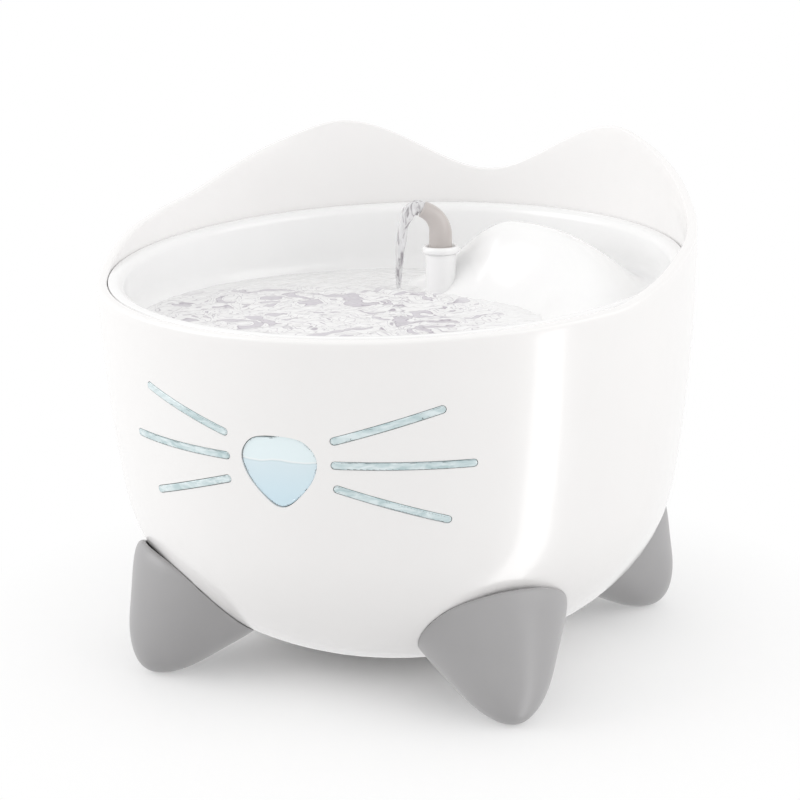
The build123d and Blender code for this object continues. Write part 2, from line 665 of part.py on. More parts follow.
def make_spout():
    """The swivelling elbow: a stub that turns in the column and a bent, tapering tube."""
    seat = column_top_z + collar_t - collar_dish + seat_gap
    stub_r = column_bore_r - swivel_gap
    low = column_top_z - spout_stub
    stub = cylinder(stub_r, low, seat)
    spout = spout_skin(0.0) + stub
    spout -= spout_skin(spout_wall)
    spout -= cylinder(stub_r - spout_wall, low - 1, seat + 1)
    turn = Rot(0, 0, -90 - spout_turn)
    return Pos(0, spout_y, 0) * turn * spout


def make_riser():
    """The tube from the pump's outlet up to the tray."""
    return annulus(riser_r, riser_r - riser_wall, outlet_top_z - riser_insert, riser_top_z)


def make_socket_seal():
    """The soft sleeve in the tray's socket that closes round the riser."""
    top = socket_top_z - seal_fit
    return annulus(socket_r - seal_fit, riser_r + seal_gap, top - seal_h, top)


def make_pump_chamber():
    """The open-topped tub round the pump, with a hole for the lead."""
    tub = cylinder(tub_r, tub_floor_z, cup_z - contact_gap, 0, tub_y)
    tub -= cylinder(tub_r - tub_wall, tub_floor_z + tub_wall, cup_z + 1, 0, tub_y)
    hole_r = lead_r + lead_gap + grommet_t + 2 * contact_gap
    return tub - cylinder_x(hole_r, tub_r - 3 * tub_wall, far, lead_out_y, pump_z)


def make_filter_cup():
    """The round cup over the pump chamber, with a rim below that plugs into the chamber."""
    plug_r = tub_r - tub_wall - seat_gap
    cup = cylinder(cup_r, cup_z, cup_top_z, 0, spout_y)
    cup -= cylinder(cup_r - tub_wall, cup_floor_z, above_z, 0, spout_y)
    plug = cylinder(plug_r, cup_z - plug_h, cup_z, 0, tub_y)
    cup += plug - cylinder(plug_r - tub_wall, 0, cup_z, 0, tub_y)
    cup -= cylinder(outlet_outer_r + cup_riser_gap, 0, above_z, 0, spout_y)
    for step in range(cup_slots):
        turn = math.radians(360 * (step + 0.5) / cup_slots)
        x = cup_slot_pcd / 2 * math.cos(turn)
        y = spout_y + cup_slot_pcd / 2 * math.sin(turn)
        if math.hypot(x, y - tub_y) < plug_r - tub_wall - cup_slot_r:
            cup -= cylinder(cup_slot_r, 0, above_z, x, y)
    return cup


def make_suction_cups():
    """Four suction cups between the reservoir's floor and the pump chamber."""
    cups = []
    inner_h = suction_h - suction_wall
    for x, ahead in suction_places:
        y = tub_y + ahead
        bell = Pos(x, y, floor_z + suction_h / 2) * Cone(suction_r, suction_neck_r, suction_h)
        neck = cylinder(suction_neck_r, floor_z + suction_h, tub_floor_z - contact_gap, x, y)
        hollow = Pos(x, y, floor_z + inner_h / 2) * Cone(suction_r - suction_wall, suction_wall, inner_h)
        cups.append(bell + neck - hollow)
    return cups


def annulus(outer, inner, z0, z1):
    """A flat ring round the riser."""
    return cylinder(outer, z0, z1, 0, spout_y) - cylinder(inner, z0 - 1, z1 + 1, 0, spout_y)


def ring_slots(shape, count, inner, outer, half_w, z0, z1):
    """Cut evenly spaced radial slots through a ring round the riser."""
    slot = block(inner, outer, -half_w, half_w, z0, z1)
    for step in range(count):
        shape -= Pos(0, spout_y, 0) * Rot(0, 0, 360 * (step + 0.5) / count) * slot
    return shape


def make_cartridge_frame():
    """The open-topped ring that holds the filter beds."""
    height = cartridge_wall + softener_h + carbon_h + 2 * bed_gap
    outer = annulus(cartridge_r, cartridge_r - cartridge_wall, cartridge_z, cartridge_z + height)
    inner = annulus(cartridge_hole_r, cartridge_hole_r - cartridge_wall,
                    cartridge_z, cartridge_z + height)
    floor = annulus(cartridge_r, cartridge_hole_r - cartridge_wall,
                    cartridge_z, cartridge_z + cartridge_wall)
    floor = ring_slots(floor, lid_slots, cartridge_hole_r + cartridge_slot_in,
                       cartridge_r - cartridge_slot_out, cartridge_slot_w / 2,
                       cartridge_z - 1, cartridge_z + cartridge_wall + 1)
    return outer + inner + floor


def bed(z0, height):
    """One ring of filter material."""
    return annulus(cartridge_r - cartridge_wall - bed_gap, cartridge_hole_r + bed_gap,
                   z0, z0 + height)


def make_filter_lid():
    """The slotted lid of the filter cup."""
    low = cup_top_z + seat_gap
    lid = annulus(cup_r, riser_r + cup_riser_gap, low, low + lid_t)
    lid += annulus(cup_r - tub_wall - bed_gap, cup_r - 2 * tub_wall - bed_gap,
                   low - lid_skirt, low + lid_t / 2)
    lid = ring_slots(lid, lid_slots, riser_r + lid_hub, cup_r - lid_edge, lid_slot_w / 2,
                     low - 1, low + lid_t + 1)
    for side in (-1, 1):
        x = side * lid_tab_x
        lid += block(x - lid_tab_w / 2, x + lid_tab_w / 2, spout_y - lid_tab_t / 2,
                     spout_y + lid_tab_t / 2, low + lid_t / 2, low + lid_tab_h)
    return lid


def make_motor_housing():
    """The sealed block with the rotor's well."""
    outer = block(-motor_half_w, motor_half_w, motor_front_y, chamber_y0,
                  pump_z - motor_half_h, pump_z + motor_half_h)
    outer = fillet(outer.edges().filter_by(Axis.Y), motor_corner_r)
    room = block(motor_wall - motor_half_w, motor_half_w - motor_wall,
                 motor_front_y - 1, chamber_y0 - motor_wall,
                 pump_z - motor_half_h + motor_wall, pump_z + motor_half_h - motor_wall)
    well_r = rotor_r + rotor_gap
    housing = outer - room
    housing += cylinder_y(well_r + well_wall, well_y - well_wall, chamber_y0, 0, pump_z)
    housing -= cylinder_y(well_r, well_y, chamber_y0 + 1, 0, pump_z)
    gland_x = motor_half_w + gland_len
    housing += cylinder_x(lead_r + gland_wall, motor_half_w - 1, gland_x, lead_out_y, pump_z)
    housing -= cylinder_x(lead_r + lead_gap, lead_route[0][0] - contact_gap, gland_x + 1,
                          lead_out_y, pump_z)
    return housing


def make_motor_potting():
    """The resin plug that seals the motor housing's front end."""
    inset = motor_wall + contact_gap
    return block(inset - motor_half_w, motor_half_w - inset, motor_front_y,
                 motor_front_y + potting_t, pump_z - motor_half_h + inset, pump_z + motor_half_h - inset)


def make_stator_core():
    """The U-shaped iron core: a bar through the coil and an arm on each side of the rotor."""
    inner = rotor_r + rotor_gap + well_wall + core_well_gap
    outer = min(inner + core_bar, motor_half_w - motor_wall - coil_gap)
    end_y = chamber_y0 - core_end_gap
    bar = block(-outer, outer, core_y0, core_y0 + core_bar, pump_z - core_half_h, pump_z + core_half_h)
    for side in (-1, 1):
        near, away = sorted((side * inner, side * outer))
        bar += block(near, away, core_y0, end_y, pump_z - core_half_h, pump_z + core_half_h)
    return bar


def make_stator_coil():
    """The winding round the core's bar."""
    y0 = core_y0 - coil_t
    y1 = core_y0 + core_bar + coil_t
    coil = block(-coil_half, coil_half, y0, y1, pump_z - coil_half, pump_z + coil_half)
    slot = block(-coil_half - 1, coil_half + 1, core_y0 - coil_gap, core_y0 + core_bar + coil_gap,
                 pump_z - core_half_h - coil_gap, pump_z + core_half_h + coil_gap)
    return coil - slot


def make_volute():
    """The impeller chamber with its upright outlet and its intake hole."""
    y0 = chamber_y0 + contact_gap
    outer_r = chamber_r + volute_wall
    plate_x = motor_half_w - motor_corner_r
    volute = cylinder_y(outer_r, y0, volute_y1, 0, pump_z)
    volute += block(-plate_x, plate_x, y0, y0 + volute_wall,
                    pump_z - motor_half_h, pump_z + motor_half_h)
    volute += cylinder(outlet_outer_r, pump_z, outlet_top_z, 0, spout_y)
    volute -= cylinder_y(chamber_r, y0 - 1, chamber_y1, 0, pump_z)
    volute -= cylinder_y(intake_r, chamber_y1 - 1, volute_y1 + 1, 0, pump_z)
    arm = spider_w / 2
    spider = cylinder_y(bush_r + spider_wall, chamber_y1, volute_y1, 0, pump_z)
    spider += block(-intake_r, intake_r, chamber_y1, volute_y1, pump_z - arm, pump_z + arm)
    spider += block(-arm, arm, chamber_y1, volute_y1, pump_z - intake_r, pump_z + intake_r)
    volute += spider - cylinder_y(bush_r + contact_gap, 0, far, 0, pump_z)
    volute -= cylinder(riser_r - riser_wall, pump_z + chamber_r / 2, outlet_top_z, 0, spout_y)
    volute -= cylinder(outlet_bore_r, outlet_top_z - riser_insert - seat_gap, above_z, 0, spout_y)
    return volute


def make_intake_cover():
    """The slotted cover over the intake, with rails for the flow slider."""
    y0 = volute_y1 + contact_gap
    cover = cylinder_y(chamber_r, y0, cover_y1, 0, pump_z)
    slot_x = slider_half_w - cover_slot_side
    for step in range(cover_slots):
        z = pump_z + (step - (cover_slots - 1) / 2) * cover_slot_pitch
        cover -= block(-slot_x, slot_x, y0 - 1, cover_y1 + 1, z - cover_slot_w / 2, z + cover_slot_w / 2)
    rail_x = slider_half_w + rail_over
    for side in (-1, 1):
        z = pump_z + side * (slider_h / 2 + rail_t / 2 + seat_gap)
        cover += block(-rail_x, rail_x, cover_y1 - rail_root, cover_y1 + slider_t + rail_rise,
                       z - rail_t / 2, z + rail_t / 2)
    return cover


def make_flow_slider():
    """The plate that slides across the intake, with a finger ridge."""
    y0 = cover_y1 + seat_gap
    plate = block(-slider_half_w, slider_half_w, y0, y0 + slider_t,
                  pump_z - slider_h / 2, pump_z + slider_h / 2)
    plate -= cylinder_y(slider_hole_r, y0 - 1, y0 + slider_t + 1, 0, pump_z)
    ridge = block(slider_half_w - slider_ridge_w, slider_half_w, y0, y0 + slider_t + slider_ridge_h,
                  pump_z - slider_h / 2, pump_z + slider_h / 2)
    return plate + ridge


def make_rotor_magnet():
    """The round magnet that drives the impeller."""
    y1 = chamber_y0 - rotor_end_gap
    magnet = cylinder_y(rotor_r, y1 - rotor_len, y1, 0, pump_z)
    return magnet - cylinder_y(shaft_r + bearing_gap, 0, far, 0, pump_z)


def make_impeller():
    """A hub, a back plate and straight blades."""
    y0 = chamber_y0 + impeller_gap
    y1 = y0 + impeller_len
    hub = cylinder_y(hub_r, chamber_y0 - rotor_end_gap, y1, 0, pump_z)
    wheel = hub + cylinder_y(impeller_r, y0, y0 + impeller_plate_t, 0, pump_z)
    for step in range(blade_count):
        blade = block(blade_root_r, impeller_r, y0, y1, -blade_t / 2, blade_t / 2)
        wheel += Pos(0, 0, pump_z) * Rot(0, 360 * step / blade_count, 0) * blade
    return wheel - cylinder_y(shaft_r + bearing_gap, 0, far, 0, pump_z)


def make_shaft():
    """The fixed ceramic shaft on which the impeller turns."""
    return cylinder_y(shaft_r, rear_bush_y0 + shaft_end_gap, front_bush_y1 - shaft_end_gap, 0, pump_z)


def make_bush(y0, y1, radius, blind_side):
    """A soft bush that holds one end of the shaft."""
    bush = cylinder_y(radius, y0, y1, 0, pump_z)
    socket_y0 = y0 + (bush_end_t if blind_side < 0 else -1)
    socket_y1 = y1 + (-bush_end_t if blind_side > 0 else 1)
    return bush - cylinder_y(shaft_r + shaft_fit, socket_y0, socket_y1, 0, pump_z)


def make_pump_feet():
    """Four rubber feet under the motor housing."""
    low = tub_floor_z + tub_wall + contact_gap
    top = pump_z - motor_half_h - contact_gap
    feet = []
    for x in (-pump_foot_x, pump_foot_x):
        for y in (motor_front_y + pump_foot_in, chamber_y0 - pump_foot_in):
            feet.append(cylinder(pump_foot_r, low, top, x, y))
    return feet


# Corners of the lead's route, from the motor housing's side to the power inlet.
lead_route = ((motor_half_w + gland_len - lead_grip, lead_out_y, pump_z), (45.0, lead_out_y, pump_z),
              (51.0, 62.5, 44.5), (41.0, 83.0, 51.0), (25.0, 100.0, 63.0), (11.0, 107.0, 80.0),
              (0.5, 106.8, 95.0), (0.0, 107.0, 112.5))


def lead_path():
    """The lead's centre line: straight runs joined by arcs as large as the runs allow."""
    points = [Vector(*point) for point in lead_route]
    radii = []
    for before, here, after in zip(points, points[1:], points[2:]):
        first = here - before
        second = after - here
        turn = math.radians(first.get_angle(second))
        radii.append(0.45 * min(first.length, second.length) / math.tan(turn / 2))
    print("lead bend radii mm:", [round(radius, 1) for radius in radii])
    return FilletPolyline(*points, radius=radii)


def make_lead():
    """The lead from the pump to the power inlet."""
    path = lead_path()
    section = Plane(origin=path @ 0, z_dir=path % 0) * Circle(lead_r)
    lead = sweep(section, path)
    print("lead length mm:", round(path.length, 1),
          "volume ratio:", round(lead.volume / (math.pi * lead_r ** 2 * path.length), 4))
    return lead


def make_lead_clips():
    """Two rings that hold the lead to the reservoir's wall."""
    clips = []
    for index in (4, 3):
        start = Vector(*lead_route[index])
        end = Vector(*lead_route[index + 1])
        along = (end - start).normalized()
        middle = (start + end) * 0.5
        outward = Vector(middle.X, middle.Y, 0).normalized()
        outward = (outward - along * outward.dot(along)).normalized()
        plane = Plane(origin=middle - along * (clip_len / 2), x_dir=outward, z_dir=along)
        outer_r = lead_r + lead_gap + clip_t
        section = Circle(outer_r) + Pos(clip_reach / 2, 0) * Rectangle(clip_reach, 2 * outer_r)
        section -= Circle(lead_r + lead_gap)
        clip = extrude(plane * section, clip_len)
        clips.append(clip & body_solid(shell_wall + contact_gap, base_z))
    return clips


def make_lead_grommet():
    """The soft ring that seals the lead in the pump chamber's wall."""
    barrel_r = lead_r + lead_gap + grommet_t
    x0 = tub_r - tub_wall - grommet_in
    flange_x = tub_r + 2 * contact_gap
    x1 = flange_x + grommet_flange_t
    grommet = cylinder_x(barrel_r, x0, x1, lead_out_y, pump_z)
    grommet += cylinder_x(barrel_r + grommet_lip, flange_x, x1, lead_out_y, pump_z)
    return grommet - cylinder_x(lead_r + lead_gap, x0 - 1, x1 + 1, lead_out_y, pump_z)


def make_power_inlet():
    """The barrel socket in the back wall, with its flange outside."""
    skin = body_radius(inlet_z)
    face = inlet_face_y()
    inner = skin - shell_wall - inlet_in_len
    bore_y0 = face - inlet_bore_len
    entry_z = inlet_z - inlet_r
    inlet = cylinder_y(inlet_r, inner, face, 0, inlet_z)
    inlet += cylinder_y(inlet_flange_r, face - inlet_flange_t, face, 0, inlet_z)
    inlet -= cylinder_y(inlet_bore_r, bore_y0, face + 1, 0, inlet_z)
    inlet -= cylinder(lead_r + lead_gap, entry_z - 1, entry_z + inlet_entry, 0, lead_route[-1][1])
    inlet -= cylinder_y(inlet_pin_r + contact_gap, bore_y0 - inlet_pin_len, face, 0, inlet_z)
    return inlet


def inlet_face_y():
    """The outer face of the power inlet."""
    return body_radius(inlet_z) + inlet_seal_t + inlet_flange_t


def make_inlet_pin():
    """The centre contact, flush with the bottom of the power inlet's bore."""
    bore_y0 = inlet_face_y() - inlet_bore_len
    return cylinder_y(inlet_pin_r, bore_y0 - inlet_pin_len, bore_y0, 0, inlet_z)


def make_inlet_seal():
    """The soft washer between the inlet's flange and the wall."""
    skin = body_radius(inlet_z)
    seal = cylinder_y(inlet_flange_r, skin - shell_wall, skin + inlet_seal_t - contact_gap, 0, inlet_z)
    seal -= cylinder_y(inlet_r + contact_gap, 0, far, 0, inlet_z)
    return seal - body_solid(-contact_gap, base_z)


def make_inlet_nut():
    """The nut that clamps the inlet from inside."""
    outer = body_radius(inlet_z) - shell_wall - nut_gap
    plane = Plane(origin=(0, outer, inlet_z), z_dir=(0, -1, 0))
    nut = extrude(plane * RegularPolygon(inlet_r + nut_w, 6), nut_t)
    return nut - cylinder_y(inlet_r + contact_gap, 0, far, 0, inlet_z)


def build_all():
    """Every node of the fountain, by name."""
    nodes = {"reservoir": make_reservoir(), "nose_window": make_nose_window(),
             "nose_gasket": make_nose_gasket()}
    for side, word in ((1, "right"), (-1, "left")):
        for level in whiskers:
            nodes["whisker_" + word + "_" + level] = make_whisker(side, level)
    foot = make_foot()
    for name, angle in foot_places().items():
        nodes[name] = turned_to(foot, angle)
    angles = list(foot_places().values())
    nodes["foot_screws"] = [turned_to(make_foot_screw(), angle) for angle in angles]
    nodes["foot_pads"] = [turned_to(make_foot_pad(), angle) for angle in angles]
    nodes["drinking_tray"] = make_tray()
    nodes["spout_collar"] = make_collar()
    nodes["spout"] = make_spout()
    nodes["riser_tube"] = make_riser()
    nodes["socket_seal"] = make_socket_seal()
    nodes["pump_chamber"] = make_pump_chamber()
    nodes["suction_cups"] = make_suction_cups()
    nodes["filter_cup"] = make_filter_cup()
    nodes["cartridge_frame"] = make_cartridge_frame()
    bed_z = cartridge_z + cartridge_wall + bed_gap / 2
    nodes["softening_bed"] = bed(bed_z, softener_h - bed_gap / 2)
    nodes["carbon_bed"] = bed(bed_z + softener_h, carbon_h)
    nodes["foam_pad"] = bed(bed_z + softener_h + carbon_h + bed_gap, foam_h)
    nodes["filter_lid"] = make_filter_lid()
    nodes["motor_housing"] = make_motor_housing()
    nodes["motor_potting"] = make_motor_potting()
    nodes["stator_core"] = make_stator_core()
    nodes["stator_coil"] = make_stator_coil()
    nodes["volute"] = make_volute()
    nodes["intake_cover"] = make_intake_cover()
    nodes["flow_slider"] = make_flow_slider()
    nodes["rotor_magnet"] = make_rotor_magnet()
    nodes["impeller"] = make_impeller()
    nodes["pump_shaft"] = make_shaft()
    well_bush_r = rotor_r + rotor_gap - contact_gap
    nodes["well_bush"] = make_bush(rear_bush_y0, rear_bush_y0 + bush_len, well_bush_r, -1)
    nodes["intake_bush"] = make_bush(front_bush_y1 - bush_len, front_bush_y1, bush_r, 1)
    nodes["pump_feet"] = make_pump_feet()
    nodes["lead"] = make_lead()
    nodes["lead_clips"] = make_lead_clips()
    nodes["lead_grommet"] = make_lead_grommet()
    nodes["power_inlet"] = make_power_inlet()
    nodes["power_inlet_pin"] = make_inlet_pin()
    nodes["power_inlet_seal"] = make_inlet_seal()
    nodes["power_inlet_nut"] = make_inlet_nut()
    return nodes


os.makedirs("parts", exist_ok=True)
for node_name, shape in build_all().items():
    solids = []
    for piece in (shape if isinstance(shape, list) else [shape]):
        solids.extend(piece.solids())
    export_step(Compound(children=solids) if len(solids) > 1 else solids[0],
                os.path.join("parts", node_name + ".step"))
    print(node_name, len(solids))
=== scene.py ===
# %% [markdown]
# # A pet water fountain, dressed in Blender
# The hard parts of this fountain come from its construction model: every one of them is
# already in its place, in metres, with the ground at z = 0 and the front towards -Y. This
# lesson adds what that model doesn't carry: soft edges, moving water and real finishes.

# %% Load the construction model
import json
import math

import bpy
from mathutils import Matrix, Vector, noise


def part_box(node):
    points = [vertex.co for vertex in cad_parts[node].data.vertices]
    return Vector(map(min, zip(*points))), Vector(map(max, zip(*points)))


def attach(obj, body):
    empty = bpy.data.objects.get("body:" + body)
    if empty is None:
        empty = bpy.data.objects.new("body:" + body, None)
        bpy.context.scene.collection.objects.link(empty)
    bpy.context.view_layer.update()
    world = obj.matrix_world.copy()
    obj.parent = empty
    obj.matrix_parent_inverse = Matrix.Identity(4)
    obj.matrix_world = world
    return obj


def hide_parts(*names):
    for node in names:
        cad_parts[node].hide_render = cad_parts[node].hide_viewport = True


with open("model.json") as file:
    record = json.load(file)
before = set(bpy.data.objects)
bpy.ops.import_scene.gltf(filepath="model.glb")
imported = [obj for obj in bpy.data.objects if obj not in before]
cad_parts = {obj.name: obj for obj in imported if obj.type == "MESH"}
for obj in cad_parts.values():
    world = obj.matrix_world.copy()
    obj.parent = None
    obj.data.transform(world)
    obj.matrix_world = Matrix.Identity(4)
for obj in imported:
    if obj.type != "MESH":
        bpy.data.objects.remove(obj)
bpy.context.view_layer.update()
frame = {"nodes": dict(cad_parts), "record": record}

MM = 0.001

# %% [markdown]
# ## The camera
# The fountain is looked at from the right front and a little above, from a distance of about
# 0.7 m with a short telephoto lens, so its round rim shows as a flat ellipse. The camera is
# laid down by three directions: where its right side, its top and its back point.

# %% Camera
camera_turn = math.radians(21.3)
camera_rise = math.radians(14.54)
camera_roll = math.radians(-0.96)
camera_distance = 687.7 * MM
camera_lens = 76.7
view_middle = Vector((0, 0, 156.6 * MM))
view_shift = (1.5 * MM, -56.9 * MM)

back_way = Vector((math.sin(camera_turn) * math.cos(camera_rise),
                   -math.cos(camera_turn) * math.cos(camera_rise), math.sin(camera_rise)))
level_right = Vector((math.cos(camera_turn), math.sin(camera_turn), 0))
level_up = back_way.cross(level_right)
right_way = math.cos(camera_roll) * level_right + math.sin(camera_roll) * level_up
up_way = math.cos(camera_roll) * level_up - math.sin(camera_roll) * level_right
camera_place = (view_middle + back_way * camera_distance + right_way * view_shift[0]
                + up_way * view_shift[1])

camera_data = bpy.data.cameras.new("camera")
camera_data.lens = camera_lens
camera_data.sensor_width = 36.0
camera_data.sensor_fit = "HORIZONTAL"
camera_data.clip_start = 0.01
camera = bpy.data.objects.new("camera", camera_data)
bpy.context.scene.collection.objects.link(camera)
camera.matrix_world = Matrix((
    (right_way.x, up_way.x, back_way.x, camera_place.x),
    (right_way.y, up_way.y, back_way.y, camera_place.y),
    (right_way.z, up_way.z, back_way.z, camera_place.z),
    (0, 0, 0, 1)))
bpy.context.scene.camera = camera
print("camera at", [round(1000 * value) for value in camera_place], "mm")

# %% [markdown]
# ## Finishes
# A finish is a small graph of nodes that ends in the Principled shader. Nearly every part here
# is moulded plastic, so one helper makes them all: it takes the colour and the gloss, adds a
# faint unevenness of colour and gloss, and a fine grain that catches the light. All patterns
# sit in Object coordinates, which are metres here, so a scale of 500 means about 2 mm.

# %% Helper: a new material with its shader and coordinates
def new_finish(title):
    material = bpy.data.materials.new(title)
    material.use_nodes = True
    nodes = material.node_tree.nodes
    shader = nodes["Principled BSDF"]
    place = nodes.new("ShaderNodeTexCoord")
    return material, shader, place.outputs["Object"]


# %% Helper: one node with its settings and links
def add_node(material, kind, settings=None, links=None, **options):
    tree = material.node_tree
    node = tree.nodes.new("ShaderNode" + kind)
    for name, value in options.items():
        setattr(node, name, value)
    for name, value in (settings or {}).items():
        node.inputs[name].default_value = value
    for name, source in (links or {}).items():
        tree.links.new(source, node.inputs[name])
    return node


# %% Helper: a colour that wavers between two shades by a pattern
def two_shades(material, factor, dark, light, low=0.0, high=1.0):
    ramp = add_node(material, "ValToRGB", links={"Fac": factor})
    ramp.color_ramp.elements[0].position = low
    ramp.color_ramp.elements[1].position = high
    ramp.color_ramp.elements[0].color = (*dark, 1)
    ramp.color_ramp.elements[1].color = (*light, 1)
    return ramp.outputs["Color"]


# %% Helper: a row of shades, each at its place on the pattern
def many_shades(material, factor, shades):
    ramp = add_node(material, "ValToRGB", links={"Fac": factor})
    stops = ramp.color_ramp.elements
    stops[0].position, stops[1].position = shades[0][0], shades[-1][0]
    for position, colour in shades[1:-1]:
        stops.new(position)
    for stop, (position, colour) in zip(stops, shades):
        stop.color = (*colour, 1)
    return ramp.outputs["Color"]


# %% Helper: grain on the surface
def add_grain(material, shader, height, depth):
    bump = add_node(material, "Bump", {"Strength": 1.0, "Distance": depth}, {"Height": height})
    material.node_tree.links.new(bump.outputs["Normal"], shader.inputs["Normal"])


# %% Helper: moulded plastic, rubber and other even materials
gloss_spread = 0.05


def moulded(title, colour, gloss, grain_size, grain_depth, waver, metallic=0.0, coat=0.0):
    material, shader, place = new_finish(title)
    links = material.node_tree.links
    broad = add_node(material, "TexNoise", {"Scale": 28.0, "Detail": 3.0}, {"Vector": place})
    dark = [max(part * (1 - waver), 0.0) for part in colour]
    light = [min(part * (1 + waver), 1.0) for part in colour]
    links.new(two_shades(material, broad.outputs["Fac"], dark, light, 0.3, 0.7),
              shader.inputs["Base Color"])
    patches = add_node(material, "TexNoise", {"Scale": 90.0, "Detail": 4.0}, {"Vector": place})
    ranged = add_node(material, "MapRange", {"To Min": gloss - gloss_spread,
                                             "To Max": gloss + gloss_spread},
                      {"Value": patches.outputs["Fac"]})
    links.new(ranged.outputs["Result"], shader.inputs["Roughness"])
    fine = add_node(material, "TexNoise", {"Scale": 1 / (grain_size * MM), "Detail": 2.0},
                    {"Vector": place})
    add_grain(material, shader, fine.outputs["Fac"], grain_depth * MM)
    shader.inputs["Metallic"].default_value = metallic
    shader.inputs["Coat Weight"].default_value = coat
    shader.inputs["Coat Roughness"].default_value = 0.08
    return material


# %% Plain moulded finishes
finishes = {
    "shell_white": moulded("shell_white", (0.925, 0.915, 0.91), 0.24, 1.6, 0.006, 0.006, coat=0.35),
    "tray_white": moulded("tray_white", (0.93, 0.93, 0.93), 0.22, 1.4, 0.006, 0.006, coat=0.3),
    "foot_grey": moulded("foot_grey", (0.385, 0.38, 0.385), 0.38, 0.5, 0.012, 0.03),
    "spout_grey": moulded("spout_grey", (0.55, 0.51, 0.49), 0.3, 0.8, 0.008, 0.03, coat=0.2),
    "rubber_grey": moulded("rubber_grey", (0.12, 0.12, 0.125), 0.62, 0.4, 0.02, 0.08),
    "rubber_black": moulded("rubber_black", (0.022, 0.022, 0.023), 0.6, 0.35, 0.02, 0.15),
    "filter_white": moulded("filter_white", (0.78, 0.79, 0.8), 0.42, 0.5, 0.015, 0.02),
    "pump_black": moulded("pump_black", (0.022, 0.022, 0.026), 0.5, 0.3, 0.03, 0.12),
    "potting_black": moulded("potting_black", (0.01, 0.01, 0.012), 0.12, 6.0, 0.05, 0.1),
    "impeller_white": moulded("impeller_white", (0.72, 0.71, 0.68), 0.35, 0.6, 0.012, 0.03),
    "magnet_dark": moulded("magnet_dark", (0.035, 0.035, 0.04), 0.55, 0.25, 0.03, 0.25),
    "shaft_ceramic": moulded("shaft_ceramic", (0.86, 0.84, 0.8), 0.1, 0.3, 0.002, 0.02, coat=0.3),
    "contact_brass": moulded("contact_brass", (0.75, 0.55, 0.22), 0.25, 0.2, 0.004, 0.06, 1.0),
}
print("plain finishes", len(finishes))

# %% [markdown]
# ## Finishes with a structure
# Some parts are not moulded: filter beds are heaps of grains or beads, foam is full of holes,
# the iron core is a stack of thin sheets and the winding is rows of wire. Each gets the pattern
# that makes it, as colour and as relief. Voronoi cells stand for grains, bands for layers.

# %% Helper: a heap of grains, beads or holes
def grains(title, dark, light, gloss, size, depth, round_ones=False):
    material, shader, place = new_finish(title)
    cells = add_node(material, "TexVoronoi", {"Scale": 1 / (size * MM)}, {"Vector": place})
    shades = add_node(material, "SeparateColor", links={"Color": cells.outputs["Color"]})
    material.node_tree.links.new(two_shades(material, shades.outputs["Red"], dark, light),
                                 shader.inputs["Base Color"])
    shader.inputs["Roughness"].default_value = gloss
    relief = add_node(material, "MapRange", {"From Max": 0.7, "To Min": 1.0, "To Max": 0.0},
                      {"Value": cells.outputs["Distance"]})
    if round_ones:
        relief.interpolation_type = "SMOOTHSTEP"
    add_grain(material, shader, relief.outputs["Result"], depth * MM)
    return material


# %% Helper: layers of sheet metal or rows of wire
def layers(title, dark, light, gloss, pitch, depth, along):
    material, shader, place = new_finish(title)
    bands = add_node(material, "TexWave", {"Scale": 0.314 / (pitch * MM), "Distortion": 0.4,
                                           "Detail": 1.0}, {"Vector": place},
                     bands_direction=along)
    material.node_tree.links.new(two_shades(material, bands.outputs["Fac"], dark, light),
                                 shader.inputs["Base Color"])
    shader.inputs["Metallic"].default_value = 1.0
    shader.inputs["Roughness"].default_value = gloss
    add_grain(material, shader, bands.outputs["Fac"], depth * MM)
    return material


# %% Structured finishes
finishes["carbon_black"] = grains("carbon_black", (0.008, 0.008, 0.009), (0.05, 0.05, 0.055),
                                  0.55, 1.3, 0.5)
finishes["resin_amber"] = grains("resin_amber", (0.3, 0.12, 0.02), (0.62, 0.33, 0.08), 0.18, 0.9,
                                 0.4, True)
finishes["foam_grey"] = grains("foam_grey", (0.07, 0.1, 0.13), (0.16, 0.2, 0.24), 0.9, 0.8, 0.6)
finishes["core_steel"] = layers("core_steel", (0.18, 0.18, 0.19), (0.42, 0.42, 0.44), 0.38, 0.5,
                                0.04, "Z")
finishes["coil_copper"] = layers("coil_copper", (0.32, 0.09, 0.03), (0.8, 0.36, 0.16), 0.3, 0.4,
                                 0.12, "X")
finishes["screw_steel"] = layers("screw_steel", (0.42, 0.42, 0.43), (0.62, 0.62, 0.63), 0.3, 0.3,
                                 0.01, "Z")
print("finishes", len(finishes))

# %% [markdown]
# ## Clear parts
# On a real fountain the windows are clear, tinted at the whiskers, and through the nose window
# the tank shows: water up to about its middle and air above. The finishes draw this on closed
# pieces and let no light through. The bars get pale streaks, painted highlights of the light
# that clear plastic lets through. The nose gets a bluer lower half for the water, under a thin
# wavy line: a painted highlight on the water's surface with a painted darker line under it.
# The line is level, so it depends on the height alone, with a small wave across.

# %% Whisker finish
material, shader, place = new_finish("whisker_clear")
# The paler streaks across the tinted bar are painted highlights, standing for light through clear
# plastic.
streaks = add_node(material, "Mapping", {"Scale": (1.0, 1.0, 3.0)}, {"Vector": place})
light_streaks = add_node(material, "TexNoise", {"Scale": 160.0, "Detail": 3.0, "Distortion": 0.6},
                {"Vector": streaks.outputs["Vector"]})
material.node_tree.links.new(
    two_shades(material, light_streaks.outputs["Fac"], (0.5, 0.64, 0.66), (0.78, 0.88, 0.9), 0.35, 0.62),
    shader.inputs["Base Color"])
shader.inputs["Roughness"].default_value = 0.08
shader.inputs["Coat Weight"].default_value = 0.6
shader.inputs["Coat Roughness"].default_value = 0.03
add_grain(material, shader, light_streaks.outputs["Fac"], 0.12 * MM)
finishes["whisker_clear"] = material

